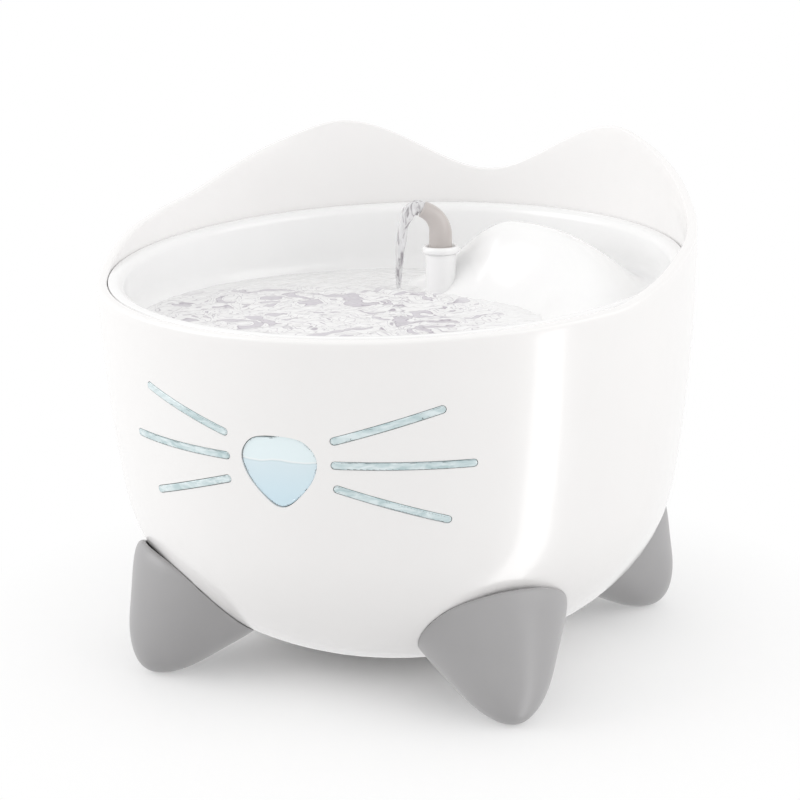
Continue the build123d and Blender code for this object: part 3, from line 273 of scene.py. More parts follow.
# %% Nose window finish
water_line = 104.6 * MM
material, shader, place = new_finish("window_clear")
spot = add_node(material, "SeparateXYZ", links={"Vector": place})
swell = add_node(material, "TexNoise", {"Scale": 110.0, "Detail": 1.0}, {"Vector": place})
lift = add_node(material, "MapRange", {"To Min": -1.2 * MM, "To Max": 1.2 * MM},
                {"Value": swell.outputs["Fac"]})
level = add_node(material, "Math", links={0: spot.outputs["Z"], 1: lift.outputs["Result"]},
                 operation="ADD")
share = add_node(material, "MapRange", {"From Min": water_line - 14 * MM,
                                        "From Max": water_line + 10 * MM},
                 {"Value": level.outputs["Value"]})
deep_blue, air_blue = (0.66, 0.83, 0.92), (0.84, 0.95, 0.98)
# The stops from 0.555 to 0.59 paint the water line: a painted darker line just under a painted
# highlight on the water's surface.
bands = many_shades(material, share.outputs["Result"], (
    (0.0, deep_blue), (0.555, (0.73, 0.86, 0.92)), (0.572, (0.66, 0.78, 0.83)),
    (0.59, (0.93, 0.97, 0.98)), (0.61, air_blue), (1.0, air_blue)))
material.node_tree.links.new(bands, shader.inputs["Base Color"])
shader.inputs["Roughness"].default_value = 0.06
shader.inputs["Coat Weight"].default_value = 0.5
shader.inputs["Coat Roughness"].default_value = 0.02
add_grain(material, shader, swell.outputs["Fac"], 0.1 * MM)
finishes["window_clear"] = material

# %% [markdown]
# ## Every construction node gets its finish
# The record names a slot for each node. The nodes that are replaced further down are hidden
# then, and the rest keep their exact shape under the new finish.

# %% Assign the finishes
slot_of = {row["node"]: row["material_slot"] for row in frame["record"]["subparts"]}
body_of = {node: body for body, group in frame["record"]["behaviour"]["bodies"].items()
           for node in group}
for node, piece in frame["nodes"].items():
    piece.data.materials.clear()
    piece.data.materials.append(finishes[slot_of[node]])
print("dressed nodes", len(frame["nodes"]))

# %% [markdown]
# ## Helpers for modelling
# Round things are made here as a lathe or a hose would make them: a circle is extruded ring
# by ring into a straight tube, and then each ring is laid in its place. Rings that shrink to a
# point are merged, which closes the shape.

# %% Helper: deselect everything
def clear_selection():
    if bpy.context.object and bpy.context.object.mode != "OBJECT":
        bpy.ops.object.mode_set(mode="OBJECT")
    bpy.ops.object.select_all(action="DESELECT")


# %% Helper: select one piece alone
def pick_alone(piece):
    clear_selection()
    piece.select_set(True)
    bpy.context.view_layer.objects.active = piece


# %% Helper: close, orient and smooth a mesh
merge_within = 0.002


def tidy_mesh(piece, angle=35.0):
    pick_alone(piece)
    bpy.ops.object.mode_set(mode="EDIT")
    bpy.ops.mesh.select_all(action="SELECT")
    bpy.ops.mesh.remove_doubles(threshold=merge_within * MM)
    bpy.ops.mesh.normals_make_consistent(inside=False)
    bpy.ops.object.mode_set(mode="OBJECT")
    bpy.ops.object.shade_smooth_by_angle(angle=math.radians(angle))


# %% Helper: a tube of rings, each laid in its place
def ring_piece(title, rings, sides, place, angle=35.0):
    clear_selection()
    bpy.ops.mesh.primitive_circle_add(vertices=sides, radius=1.0, location=(0, 0, 0))
    piece = bpy.context.object
    piece.name = title
    bpy.ops.object.mode_set(mode="EDIT")
    bpy.ops.mesh.select_all(action="SELECT")
    for step in range(1, rings):
        bpy.ops.mesh.extrude_edges_move(TRANSFORM_OT_translate={"value": (0, 0, 1)})
    bpy.ops.object.mode_set(mode="OBJECT")
    for point in piece.data.vertices:
        ring = round(point.co.z)
        turn = math.atan2(point.co.y, point.co.x)
        point.co = place(ring, turn)
    tidy_mesh(piece, angle)
    return piece


# %% Helper: a point in the round, and a point on a smooth curve between two others
def round_point(radius, turn, height, y=0.0):
    return Vector((radius * math.cos(turn), y + radius * math.sin(turn), height)) * MM


def curve_point(before, here, after, beyond, t):
    return (here * 2 + (after - before) * t + (before * 2 - here * 5 + after * 4 - beyond) * t * t
            + (here * 3 - before - after * 3 + beyond) * t ** 3) / 2


# %% Helper: join one piece with another, or take the other away
def boolean(piece, other, operation):
    pick_alone(piece)
    change = piece.modifiers.new("join", "BOOLEAN")
    change.operation = operation
    change.solver = "EXACT"
    change.object = other
    bpy.ops.object.modifier_apply(modifier=change.name)
    bpy.data.objects.remove(other)


# %% Helper: give a finished piece its finish, its body and the node it stands for
def settle(piece, slot, node):
    piece.data.materials.clear()
    piece.data.materials.append(finishes[slot])
    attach(piece, body_of[node])
    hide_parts(node)
    print(piece.name, len(piece.data.polygons), "faces")


# %% Helper: a smoothed copy of a construction node, with its sharp edges broken
def smooth_copy(node, break_edge=0.0, angle=35.0):
    source = frame["nodes"][node]
    piece = bpy.data.objects.new("dressed_" + node, source.data.copy())
    bpy.context.scene.collection.objects.link(piece)
    tidy_mesh(piece, angle)
    if break_edge:
        bevel = piece.modifiers.new("broken edge", "BEVEL")
        bevel.width = break_edge * MM
        bevel.segments = 3
        bevel.limit_method = "ANGLE"
        bevel.angle_limit = math.radians(50)
        bevel.use_clamp_overlap = False
        bpy.ops.object.modifier_apply(modifier=bevel.name)
        bpy.ops.object.shade_smooth_by_angle(angle=math.radians(angle))
    settle(piece, slot_of[node], node)


# %% [markdown]
# ## The reservoir
# The tank is one white moulding. Its side bows out a little and rounds under to a flat base,
# and at the back its wall rises into two soft ears. The rim round the tray slopes down to the
# front. Its section is a closed line: up the outside, over the rounded lip, down inside, over
# the ledge that carries the tray, and down the inner skin to the floor.

# %% Sizes of the reservoir, in millimetres
rim_z = 156.6
rim_slope = 0.0656
rim_wall_r = 119.6
edge_mid_r = rim_wall_r - 2
side_lean, side_bow = 0.007, 0.0008
under_z, under_h, under_power = 71.96, 72.68, 2.355
side_top_z = 120
pocket_r = 115.5
ledge_r, ledge_soft_r = 112.2, 112.5
seat_drop, soft_seat_drop = 3.3, 3.6
ledge_drop, soft_ledge_drop = 9.3, 9.0
skin_start_r, skin_join_z = 116, 72
shell_wall = 3.0
base_z = 9.0
floor_z = 12.0
lip_round, inner_lip = 1.5, 0.8
ear_top = 45.4
ear_valley = 23.0
ear_x = 64.9
ear_fall = [(33.5, 45.4), (46, 39.1), (58, 29.9), (70, 19.6), (84, 12.7), (94, 8.1), (104, 2.3),
            (118, -3.62)]


# %% Outline of the body
def body_radius(z):
    fall = rim_z - z
    side = rim_wall_r - side_lean * fall - side_bow * fall ** 2
    share = min(max((under_z - z) / under_h, 0.0), 0.99)
    return side * (1 - share ** under_power) ** (1 / under_power)


# %% A smooth curve through given points
def smooth_curve(points, x, first_slope=0.0, last_slope=None):
    slopes = []
    for index in range(len(points)):
        before = points[max(index - 1, 0)]
        after = points[min(index + 1, len(points) - 1)]
        slopes.append((after[1] - before[1]) / (after[0] - before[0]))
    slopes[0] = first_slope
    if last_slope is not None:
        slopes[-1] = last_slope
    index = 0
    while index < len(points) - 2 and x > points[index + 1][0]:
        index += 1
    (x0, y0), (x1, y1) = points[index], points[index + 1]
    step = x1 - x0
    share = min(max((x - x0) / step, 0.0), 1.0)
    lift = share * share * (3 - 2 * share)
    bow = share * (1 - share) ** 2 * slopes[index] - share * share * (1 - share) * slopes[index + 1]
    return y0 + (y1 - y0) * lift + bow * step


# %% Height of the wall's top edge all round
def edge_height(turn):
    from_back = abs(math.degrees(math.atan2(math.cos(turn), math.sin(turn))))
    depth = edge_mid_r * math.sin(turn)
    if from_back >= ear_fall[-1][0]:
        return rim_z + rim_slope * depth
    if from_back <= ear_fall[0][0]:
        share = min(edge_mid_r * math.sin(math.radians(from_back)) / ear_x, 1.0)
        return rim_z + ear_valley + (ear_top - ear_valley) * share * share * (3 - 2 * share)
    return rim_z + smooth_curve(ear_fall, from_back, 0.0, -0.12)


# %% Section of the wall, one ring after another
def skin_ring(z, depth, lowest):
    slope = (body_radius(z + 0.01) - body_radius(z - 0.01)) / 0.02
    norm = math.hypot(1.0, slope)
    radius = body_radius(z) - depth / norm
    height = max(z + depth * slope / norm, lowest)
    return lambda turn: (radius, height)


def upper_ring(share):
    def section(turn):
        height = side_top_z + (edge_height(turn) - lip_round - side_top_z) * share
        return body_radius(height), height
    return section


def lip_ring(quarter, outside):
    def section(turn):
        top = edge_height(turn)
        outer = body_radius(top - lip_round)
        angle = math.radians(quarter)
        if outside:
            return (outer - lip_round + lip_round * math.cos(angle),
                    top - lip_round + lip_round * math.sin(angle))
        soft = min(inner_lip, outer - pocket_r - lip_round)
        return pocket_r + soft * (1 - math.cos(angle)), top - soft * (1 - math.sin(angle))
    return section


def inner_ring(share):
    def section(turn):
        top = edge_height(turn) - inner_lip
        seat = rim_z + rim_slope * pocket_r * math.sin(turn) - seat_drop
        return pocket_r, top + (seat - top) * share
    return section


def sloped_ring(radius, drop):
    def section(turn):
        return radius, rim_z + rim_slope * radius * math.sin(turn) - drop
    return section


def low_ring(share):
    def section(turn):
        start = rim_z + rim_slope * skin_start_r * math.sin(turn) - ledge_drop
        height = start + (skin_join_z - start) * share
        return body_radius(height) - shell_wall, height
    return section


outer_heights = [9, 9.4, 10.2, 11.5, 13.5, 16, 19, 23, 27, 32, 37, 43, 49, 56, 63, 70, 78, 87, 96,
                 105, 113, side_top_z]
inner_heights = [64, 57, 50, 43, 37, 31, 25, 20, 16, 13, 11, 9.3]
wall_rings = [lambda turn: (0.0, base_z), lambda turn: (30.0, base_z),
              lambda turn: (body_radius(9.0) - 1.2, base_z)]
wall_rings += [skin_ring(z, 0.0, base_z) for z in outer_heights]
wall_rings += [upper_ring(step / 10) for step in range(1, 11)]
wall_rings += [lip_ring(quarter, True) for quarter in (18, 36, 54, 72, 90)]
wall_rings += [lip_ring(quarter, False) for quarter in (90, 72, 54, 36, 18, 0)]
wall_rings += [inner_ring(step / 6) for step in range(1, 7)]
wall_rings += [sloped_ring(ledge_soft_r, seat_drop), sloped_ring(ledge_r, soft_seat_drop),
               sloped_ring(ledge_r, soft_ledge_drop), sloped_ring(ledge_soft_r, ledge_drop)]
wall_rings += [low_ring(step / 6) for step in range(0, 7)]
wall_rings += [skin_ring(z, shell_wall, floor_z) for z in inner_heights]
wall_rings += [lambda turn: (30.0, floor_z), lambda turn: (0.0, floor_z)]


def wall_place(ring, turn):
    radius, height = wall_rings[ring](turn)
    return round_point(radius, turn, height)


shell = ring_piece("reservoir_shell", len(wall_rings), 288, wall_place, 40.0)
print("reservoir", len(wall_rings), "rings")

# %% [markdown]
# ### The window openings
# Six whisker bars and the nose window sit in openings of the front wall, and a round hole in
# the back takes the power inlet. Each opening is a bar or plug of its outline, pushed through
# the wall from outside, which a Boolean modifier then takes away from the shell.

# %% Sizes of the windows, in millimetres and degrees
whisker_bars = {"upper": (9.7, 113.0, 29.2, 125.1), "middle": (9.6, 104.5, 34.7, 104.5),
                "lower": (9.8, 96.0, 30.2, 83.5)}
whisker_w = 2.8
nose_z = 100.6
nose_half_w = 14.5
nose_half_h = 13.3
window_play = 0.12
start_r = 129.6
cut_reach = 37.0
cutters = []


# %% A flat outline pushed through the wall
def push_through(outline, angle, z, title):
    clear_selection()
    turn = math.radians(angle)
    out = Vector((math.sin(turn), -math.cos(turn), 0))
    across = Vector((math.cos(turn), math.sin(turn), 0))
    middle = out * start_r + Vector((0, 0, z))
    bpy.ops.mesh.primitive_circle_add(vertices=len(outline), radius=1.0, fill_type="NGON")
    piece = bpy.context.object
    piece.name = title
    for point, (x, y) in zip(piece.data.vertices, outline):
        point.co = (middle + across * x + Vector((0, 0, y))) * MM
    bpy.ops.object.mode_set(mode="EDIT")
    bpy.ops.mesh.select_all(action="SELECT")
    bpy.ops.mesh.extrude_region_move(
        TRANSFORM_OT_translate={"value": tuple(out * (-cut_reach * MM))})
    bpy.ops.object.mode_set(mode="OBJECT")
    tidy_mesh(piece)
    return piece


# %% Outline of a whisker bar and of the nose
def bar_outline(side, level):
    in_angle, in_z, out_angle, out_z = whisker_bars[level]
    middle = (in_angle + out_angle) / 2
    mid_z = (in_z + out_z) / 2
    reach = body_radius(mid_z) * math.sin(math.radians(out_angle - middle)) * 2
    tilt = math.atan2(out_z - in_z, reach) * side
    straight = math.hypot(reach, out_z - in_z) / 2 - whisker_w / 2
    radius = whisker_w / 2 + window_play
    outline = []
    for step in range(24):
        angle = math.radians(-90 + 180 * (step % 12) / 11 + (180 if step > 11 else 0))
        end = straight if step < 12 else -straight
        x, y = end + radius * math.cos(angle), radius * math.sin(angle)
        outline.append((x * math.cos(tilt) - y * math.sin(tilt),
                        x * math.sin(tilt) + y * math.cos(tilt)))
    return outline, side * middle, mid_z


def nose_outline():
    half = [(0, 1), (0.66, 0.89), (0.99, 0.42), (0.85, -0.19), (0.37, -0.80), (0, -1)]
    corners = half + [(-x, y) for x, y in reversed(half[1:-1])]
    corners = [Vector((x * (nose_half_w + window_play), y * (nose_half_h + window_play)))
               for x, y in corners]
    outline = []
    count = len(corners)
    for index in range(count):
        four = [corners[(index + shift) % count] for shift in (-1, 0, 1, 2)]
        outline += [tuple(curve_point(*four, step / 8)) for step in range(8)]
    return outline


# %% Cut the openings
for side in (1, -1):
    for level in whisker_bars:
        outline, angle, z = bar_outline(side, level)
        cutters.append(push_through(outline, angle, z, "cut_" + level))
cutters.append(push_through(nose_outline(), 0.0, nose_z, "cut_nose"))
clear_selection()
bpy.ops.mesh.primitive_cylinder_add(vertices=48, radius=5.1 * MM, depth=20 * MM,
                                    location=(0, 0.119, 0.116), rotation=(math.pi / 2, 0, 0))
bpy.ops.object.transform_apply(location=True, rotation=True, scale=True)
cutters.append(bpy.context.object)
pick_alone(cutters[0])
for piece in cutters:
    piece.select_set(True)
bpy.ops.object.join()
boolean(shell, bpy.context.object, "DIFFERENCE")
bpy.ops.object.shade_smooth_by_angle(angle=math.radians(40))
settle(shell, "shell_white", "reservoir")

# %% [markdown]
# ## Windows and feet
# These pieces keep the exact outline of their construction node. A copy is merged into one
# closed mesh and shaded smooth, and the windows' edges are broken with a fine bevel, as a
# mould leaves them.

# %% Windows
for side in ("right", "left"):
    for level in whisker_bars:
        smooth_copy("whisker_%s_%s" % (side, level), 0.35)
smooth_copy("nose_window", 0.4)

# %% Feet
for end in ("front", "rear"):
    for side in ("right", "left"):
        smooth_copy("foot_%s_%s" % (end, side), 0.0, 30.0)

# %% [markdown]
# ## The drinking tray
# The tray is a round white dish with a rolled rim. Its floor swells into a smooth mound at the
# right, which guides the water back to the front. It is pressed here like a sheet: rings from
# the middle out over the floor, up the cove and the wall, round the rim, and back underneath.
# Wherever the mound is higher than the dish, the ring is lifted onto it.

# %% Sizes of the tray, in millimetres
tray_r = 115.2
dish_r = 109.2
dish_wall = 2.4
dish_cove = 12.0
dish_floor_z = 129.0
rim_roll = 3.8
edge_roll = 0.7
flange_t = 3.0
mound_turn, mound_height, mound_r = 24.0, 35.0, 71.0
mound_blend = 3.0
spout_y = 52.9


# %% The mound's height over the floor
def mound_rise(x, y):
    turn = math.degrees(math.atan2(x, y)) - mound_turn
    spread = 75.0 if turn > 0 else 30.0
    if turn < -90:
        return 0.0
    ridge_r = mound_r + 0.2 * max(turn, 0.0)
    radius = math.hypot(x, y)
    across = 20.0 if radius < ridge_r else 30.0
    return mound_height * math.exp(-(turn / spread) ** 2 - ((radius - ridge_r) / across) ** 2)


def soft_top(low, high):
    gap = max(mound_blend - abs(low - high), 0.0) / mound_blend
    return max(low, high) + gap * gap * mound_blend * 0.25


# %% The tray's section
def flat_part(radius, z):
    def section(turn):
        lift = mound_rise(radius * math.cos(turn), radius * math.sin(turn))
        return radius, soft_top(z, z - 0.4 + lift) if lift > 0.05 else z
    return section


def wall_part(radius, share, bottom, drop):
    def section(turn):
        top = rim_z + rim_slope * radius * math.sin(turn) - drop
        return radius, bottom + (top - bottom) * share
    return section


cove_r = dish_r - dish_cove
cove_z = dish_floor_z + dish_cove
tray_rings = [flat_part(0.0, dish_floor_z)]
tray_rings += [flat_part(2.8 * step, dish_floor_z) for step in range(1, 35)]
for step in range(1, 11):
    angle = math.radians(9 * step)
    tray_rings.append(flat_part(cove_r + dish_cove * math.sin(angle),
                                cove_z - dish_cove * math.cos(angle)))
tray_rings += [wall_part(dish_r, step / 6, cove_z, rim_roll) for step in range(1, 7)]
for step in range(1, 9):
    angle = math.radians(11.25 * step)
    tray_rings.append(sloped_ring(dish_r + rim_roll * (1 - math.cos(angle)),
                                  rim_roll * (1 - math.sin(angle))))
for step in range(0, 5):
    angle = math.radians(22.5 * step)
    tray_rings.append(sloped_ring(tray_r - edge_roll * (1 - math.sin(angle)),
                                  edge_roll * (1 - math.cos(angle))))
tray_rings += [sloped_ring(tray_r, flange_t), sloped_ring(dish_r + dish_wall, flange_t)]
tray_rings += [wall_part(dish_r + dish_wall, 1 - step / 5, cove_z, flange_t)
               for step in range(1, 6)]
for step in range(9, -1, -1):
    angle = math.radians(9 * step)
    reach = dish_cove + dish_wall
    tray_rings.append(flat_part(cove_r + reach * math.sin(angle), cove_z - reach * math.cos(angle)))
tray_rings += [flat_part(2.8 * step, dish_floor_z - dish_wall) for step in range(34, 0, -1)]
tray_rings += [flat_part(0.0, dish_floor_z - dish_wall)]


def tray_place(ring, turn):
    radius, height = tray_rings[ring](turn)
    return round_point(radius, turn, height)


tray = ring_piece("drinking_dish", len(tray_rings), 256, tray_place, 50.0)

# %% [markdown]
# The column that carries the spout is turned separately and joined by a Boolean, as is the low
# block of the overflow with its five slots. A bore through the column lets the riser in.


# %% Helper: a turned piece round an upright axis at the spout
def turned(title, outline):
    def place(ring, turn):
        radius, height = outline[ring]
        return round_point(radius, turn, height, spout_y)
    return ring_piece(title, len(outline), 64, place)


# %% Column, overflow and bore
column_top = 150.4
column_r = 6.6
bore_r = 5.4
tray_under = 126.6
weir_z, weir_w, weir_d = 133.6, 52, 18
slot_pitch, slot_w, slot_d, slot_h = 9.6, 3.6, 12, 20
flare = [(column_r + 3.0 * math.exp(-step * 0.9), dish_floor_z - 0.6 + 1.5 * step)
         for step in range(0, 8)]
column = turned("column", [(0.0, 127.0), (10.4, 127.0)] + flare
                + [(column_r, 145.0), (column_r, column_top - 0.3), (column_r - 0.3, column_top),
                   (0.0, column_top)])
boolean(tray, column, "UNION")
clear_selection()
bpy.ops.mesh.primitive_cube_add(size=1.0, location=(0, -0.08, (tray_under + weir_z) / 2 * MM))
weir = bpy.context.object
weir.scale = (weir_w * MM, weir_d * MM, (weir_z - tray_under) * MM)
bpy.ops.object.transform_apply(location=True, rotation=True, scale=True)
bpy.ops.object.mode_set(mode="EDIT")
bpy.ops.mesh.select_all(action="SELECT")
bpy.ops.mesh.bevel(offset=1.2 * MM, segments=4)
bpy.ops.object.mode_set(mode="OBJECT")
boolean(tray, weir, "UNION")
for step in range(-2, 3):
    clear_selection()
    bpy.ops.mesh.primitive_cube_add(size=1.0, location=(step * slot_pitch * MM, -0.08, 0.13))
    slot = bpy.context.object
    slot.scale = (slot_w * MM, slot_d * MM, slot_h * MM)
    bpy.ops.object.transform_apply(location=True, rotation=True, scale=True)
    boolean(tray, slot, "DIFFERENCE")
bore = turned("bore", [(0.0, 120.0), (bore_r, 120.0), (bore_r, 156.0), (0.0, 156.0)])
boolean(tray, bore, "DIFFERENCE")
pick_alone(tray)
bpy.ops.object.shade_smooth_by_angle(angle=math.radians(50))
settle(tray, "tray_white", "drinking_tray")

# %% Collar
collar_rings = []
for step in range(0, 25):
    angle = math.radians(15 * step)
    collar_rings.append((7.0 + 1.2 * math.cos(angle), 152.0 + 1.6 * math.sin(angle)))
collar = turned("spout_ring", collar_rings)
settle(collar, "tray_white", "spout_collar")

# %% [markdown]
# ## The spout
# A small grey elbow stands in the collar and turns there. It is made as a pipe bender would:
# straight up, round a bend, narrowing all the way to its rounded mouth, then back inside to
# give the tube its wall.

# %% Spout
spout_seat = 152.5
spout_turn = math.radians(-90 - 67)
spout_rise = 6.5
bend_r = 11.0
bend_angle = 62.0
mouth_len = 2.2
root_r, mouth_r, tube_wall = 5.0, 3.6, 1.1


def spout_line(share):
    """Middle, direction and radius of the spout at a share of its length."""
    lengths = (spout_rise, bend_r * math.radians(bend_angle), mouth_len)
    run = share * sum(lengths)
    straight = min(run, lengths[0])
    turned = min(max(run - lengths[0], 0.0) / bend_r, math.radians(bend_angle))
    beyond = max(run - lengths[0] - lengths[1], 0.0)
    out = bend_r * (1 - math.cos(turned)) + beyond * math.sin(turned)
    up = straight + bend_r * math.sin(turned) + beyond * math.cos(turned)
    taper = max(run - lengths[0], 0.0) / (lengths[1] + lengths[2])
    return (out, up), turned, root_r + (mouth_r - root_r) * min(taper * 1.1, 1.0)


mouth_lift = {0.25: 0.22, 0.55: 0.32, 0.85: 0.22}
spout_rings = ([(0.0, 0.0)] + [(share / 20, 0.0) for share in range(21)]
               + [(1.0, inset) for inset in (*mouth_lift, tube_wall)]
               + [(1 - share / 20, tube_wall) for share in range(1, 21)])


def spout_place(ring, turn):
    share, inset = spout_rings[ring]
    (out, up), lean, radius = spout_line(share)
    radius -= inset
    ahead = mouth_lift.get(inset, 0.0) - (0.3 if share == 1.0 else 0.0)
    side_x = radius * math.cos(turn)
    x = out + side_x * math.cos(lean) + ahead * math.sin(lean)
    z = up - side_x * math.sin(lean) + ahead * math.cos(lean)
    y = radius * math.sin(turn)
    if ring == 0:
        z -= 0.02
    point = Vector((x * math.cos(spout_turn) - y * math.sin(spout_turn),
                    spout_y + x * math.sin(spout_turn) + y * math.cos(spout_turn),
                    spout_seat + z))
    return point * MM


spout = ring_piece("spout_tube", len(spout_rings), 48, spout_place, 60.0)
stub_rings = [(3.22, 0.4), (3.22, -14.1), (4.32, -14.1), (4.32, 0.4)]


def stub_place(ring, turn):
    radius, height = stub_rings[ring % 4]
    return round_point(radius, turn, spout_seat + height, spout_y)


stub = ring_piece("spout_stub", 5, 48, stub_place)
pick_alone(spout)
stub.select_set(True)
bpy.ops.object.join()
bpy.ops.object.shade_smooth_by_angle(angle=math.radians(60))
settle(spout, "spout_grey", "spout")

# %% [markdown]
# ## The water in the tray
# The pool fills the low part of the tray up to its overflow. The stream makes it move: rings
# run out from where it lands, and the rest is broken into small swells. The sheet is a disc of
# rings, lifted by those waves, without the part that would lie inside the mound.

# %% Sizes of the pool, in millimetres
pool_z = 133.9
pool_edge_r = 107.4
landing = Vector((-19.4, 51.8))
weir_y, weir_half_w, weir_half_d = -80.0, 24.0, 7.0
mound_base_z, mound_cover, weir_cover, column_hole_r = 128.6, 1.6, 3.9, 5.6
pool_rings = 84


# %% The waves
def wave_height(x, y):
    away = math.hypot(x - landing.x, (y - landing.y))
    rings = 0.55 * math.cos(away * 0.85) * math.exp(-away / 26)
    point = Vector((x * 0.09, y * 0.09, 0.0))
    swell = noise.noise(point * 1.6 + Vector((3.1, 0.7, 0.0)))
    small = noise.noise(point * 4.2 + Vector((9.4, 2.2, 0.0)))
    return rings + 0.55 * swell + 0.28 * small


def weir_drop(x, y):
    over = math.hypot(max(abs(x) - weir_half_w + weir_half_d, 0.0), y - weir_y) - weir_half_d
    share = min(max((3.0 - over) / 6.0, 0.0), 1.0)
    return 4.0 * share * share * (3 - 2 * share)


# %% Pool sheet
def pool_place(ring, turn):
    radius = pool_edge_r * ring / (pool_rings - 1)
    x, y = radius * math.cos(turn), radius * math.sin(turn)
    calm = min((pool_edge_r - radius) / 12, 1.0)
    height = pool_z + wave_height(x, y) * (0.3 + 0.7 * calm) - weir_drop(x, y)
    return Vector((x, y, height)) * MM


pool = ring_piece("tray_water", pool_rings, 256, pool_place, 80.0)
pick_alone(pool)
bpy.ops.object.mode_set(mode="EDIT")
bpy.ops.mesh.select_mode(type="FACE")
bpy.ops.mesh.select_all(action="DESELECT")
bpy.ops.object.mode_set(mode="OBJECT")
for face in pool.data.polygons:
    inside = 0
    for index in face.vertices:
        x, y, z = pool.data.vertices[index].co / MM
        in_mound = mound_base_z + mound_rise(x, y) > pool_z + mound_cover
        in_weir = weir_drop(x, y) > weir_cover
        in_column = math.hypot(x, y - spout_y) < column_hole_r
        inside += in_mound or in_weir or in_column
    face.select = inside == len(face.vertices)
bpy.ops.object.mode_set(mode="EDIT")
bpy.ops.mesh.delete(type="FACE")
bpy.ops.mesh.select_mode(type="VERT")
bpy.ops.object.mode_set(mode="OBJECT")

# %% [markdown]
# The broken surface is white with mauve-grey patches and thin darker lines, which fade out
# past an oval. The patches and lines are painted reflections in the ripples, drawn in the colour.
# The sheet casts no shadow, so the tray under it stays white.

# %% Pool finish
ripple_white, reflection_grey = (0.97, 0.97, 0.97), (0.66, 0.63, 0.68)
material, shader, place = new_finish("pool_water")
broken = add_node(material, "TexNoise", {"Scale": 52.0, "Detail": 2.0, "Roughness": 0.5,
                                         "Distortion": 1.5}, {"Vector": place})
# Painted reflections: grey patches and thin darker lines between white, in the water's colour.
painted_reflections = many_shades(material, broken.outputs["Fac"], (
    (0.3, reflection_grey), (0.4, reflection_grey), (0.42, (0.42, 0.38, 0.44)), (0.44, ripple_white),
    (0.5, ripple_white), (0.512, (0.52, 0.49, 0.54)), (0.524, ripple_white),
    (0.6, ripple_white), (0.612, reflection_grey), (0.63, ripple_white), (0.7, ripple_white)))
oval = add_node(material, "Mapping", {"Location": (0.366, 0.161, 0.0),
                                      "Scale": (12.2, 16.1, 0.0)}, {"Vector": place})
far_out = add_node(material, "VectorMath", links={0: oval.outputs["Vector"]}, operation="LENGTH")
calm = add_node(material, "MapRange", {"From Min": 0.86, "From Max": 1.04},
                {"Value": far_out.outputs["Value"]})
mixed = add_node(material, "Mix", {7: (0.95, 0.95, 0.95, 1)},
                 {0: calm.outputs["Result"], 6: painted_reflections}, data_type="RGBA")
material.node_tree.links.new(mixed.outputs[2], shader.inputs["Base Color"])
shader.inputs["Roughness"].default_value = 0.04
shader.inputs["IOR"].default_value = 1.33
shader.inputs["Alpha"].default_value = 0.9
add_grain(material, shader, broken.outputs["Fac"], 0.5 * MM)
finishes["pool_water"] = material
pool.data.materials.clear()
pool.data.materials.append(material)
pool.visible_shadow = False
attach(pool, "tray")
print("pool", len(pool.data.polygons), "faces")

# %% [markdown]
# ## The stream
# Water leaves the mouth as a clear rope, arcs over and thins as it falls. It is a tube along
# a short curve: wide and a little flattened at the mouth, narrow where it meets the pool, with
# small swellings on the way.

# %% Stream
stream_points = [Vector(point) for point in (
    (-5.2, 50.6, 169.0), (-9.6, 49.2, 170.4), (-13.3, 48.9, 167.6), (-15.6, 49.3, 162.0),
    (-17.2, 49.9, 154.0), (-18.4, 50.7, 145.0), (-19.2, 51.5, 137.0), (-19.5, 51.8, 132.8))]
stream_radii = [2.3, 3.0, 3.1, 2.7, 2.2, 1.7, 1.2, 0.6]
stream_rings = 60


def along_points(points, share):
    run = share * (len(points) - 1)
    index = min(int(run), len(points) - 2)
    before = points[max(index - 1, 0)]
    beyond = points[min(index + 2, len(points) - 1)]
    return curve_point(before, points[index], points[index + 1], beyond, run - index)


def stream_place(ring, turn):
    share = min(max((ring - 1) / (stream_rings - 3), 0.0), 1.0)
    middle = along_points(stream_points, share)
    ahead = along_points(stream_points, min(share + 0.01, 1.0))
    behind = along_points(stream_points, max(share - 0.01, 0.0))
    way = (ahead - behind).normalized()
    side = way.cross(Vector((0.36, 0.93, 0.0))).normalized()
    front = way.cross(side).normalized()
    radius = along_points(stream_radii, share)
    rough = noise.noise(Vector((math.cos(turn) * 0.8, math.sin(turn) * 0.8, share * 9.0)))
    twist = 1 + 0.28 * rough + 0.1 * math.cos(2 * turn + 9 * share)
    if ring in (0, stream_rings - 1):
        radius = 0.0
    return (middle + (side * math.cos(turn) + front * math.sin(turn) * 0.8) * radius * twist) * MM


stream = ring_piece("stream", stream_rings, 40, stream_place, 80.0)
material, shader, place = new_finish("stream_water")
drawn = add_node(material, "Mapping", {"Scale": (1.0, 1.0, 0.28)}, {"Vector": place})
streaks = add_node(material, "TexNoise", {"Scale": 420.0, "Detail": 3.0, "Distortion": 1.2},
                   {"Vector": drawn.outputs["Vector"]})
# The grey and white streaks are painted reflections in the falling water.
material.node_tree.links.new(
    two_shades(material, streaks.outputs["Fac"], (0.42, 0.4, 0.42), (0.97, 0.97, 0.98), 0.38, 0.5),
    shader.inputs["Base Color"])
shader.inputs["Roughness"].default_value = 0.03
shader.inputs["IOR"].default_value = 1.33
shader.inputs["Transmission Weight"].default_value = 0.45
shader.inputs["Alpha"].default_value = 0.9
add_grain(material, shader, streaks.outputs["Fac"], 0.3 * MM)
finishes["stream_water"] = material
stream.data.materials.clear()
stream.data.materials.append(material)
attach(stream, "spout")
print("stream", len(stream.data.polygons), "faces")

# %% [markdown]
# ## The foam pad
# The coarse filter is a ring of open foam that lies on the cartridge. It is turned like the
# other round pieces, from a dense net of rings, and every point is then pressed inward where it
# lies near the middle of a cell, which opens the pores.

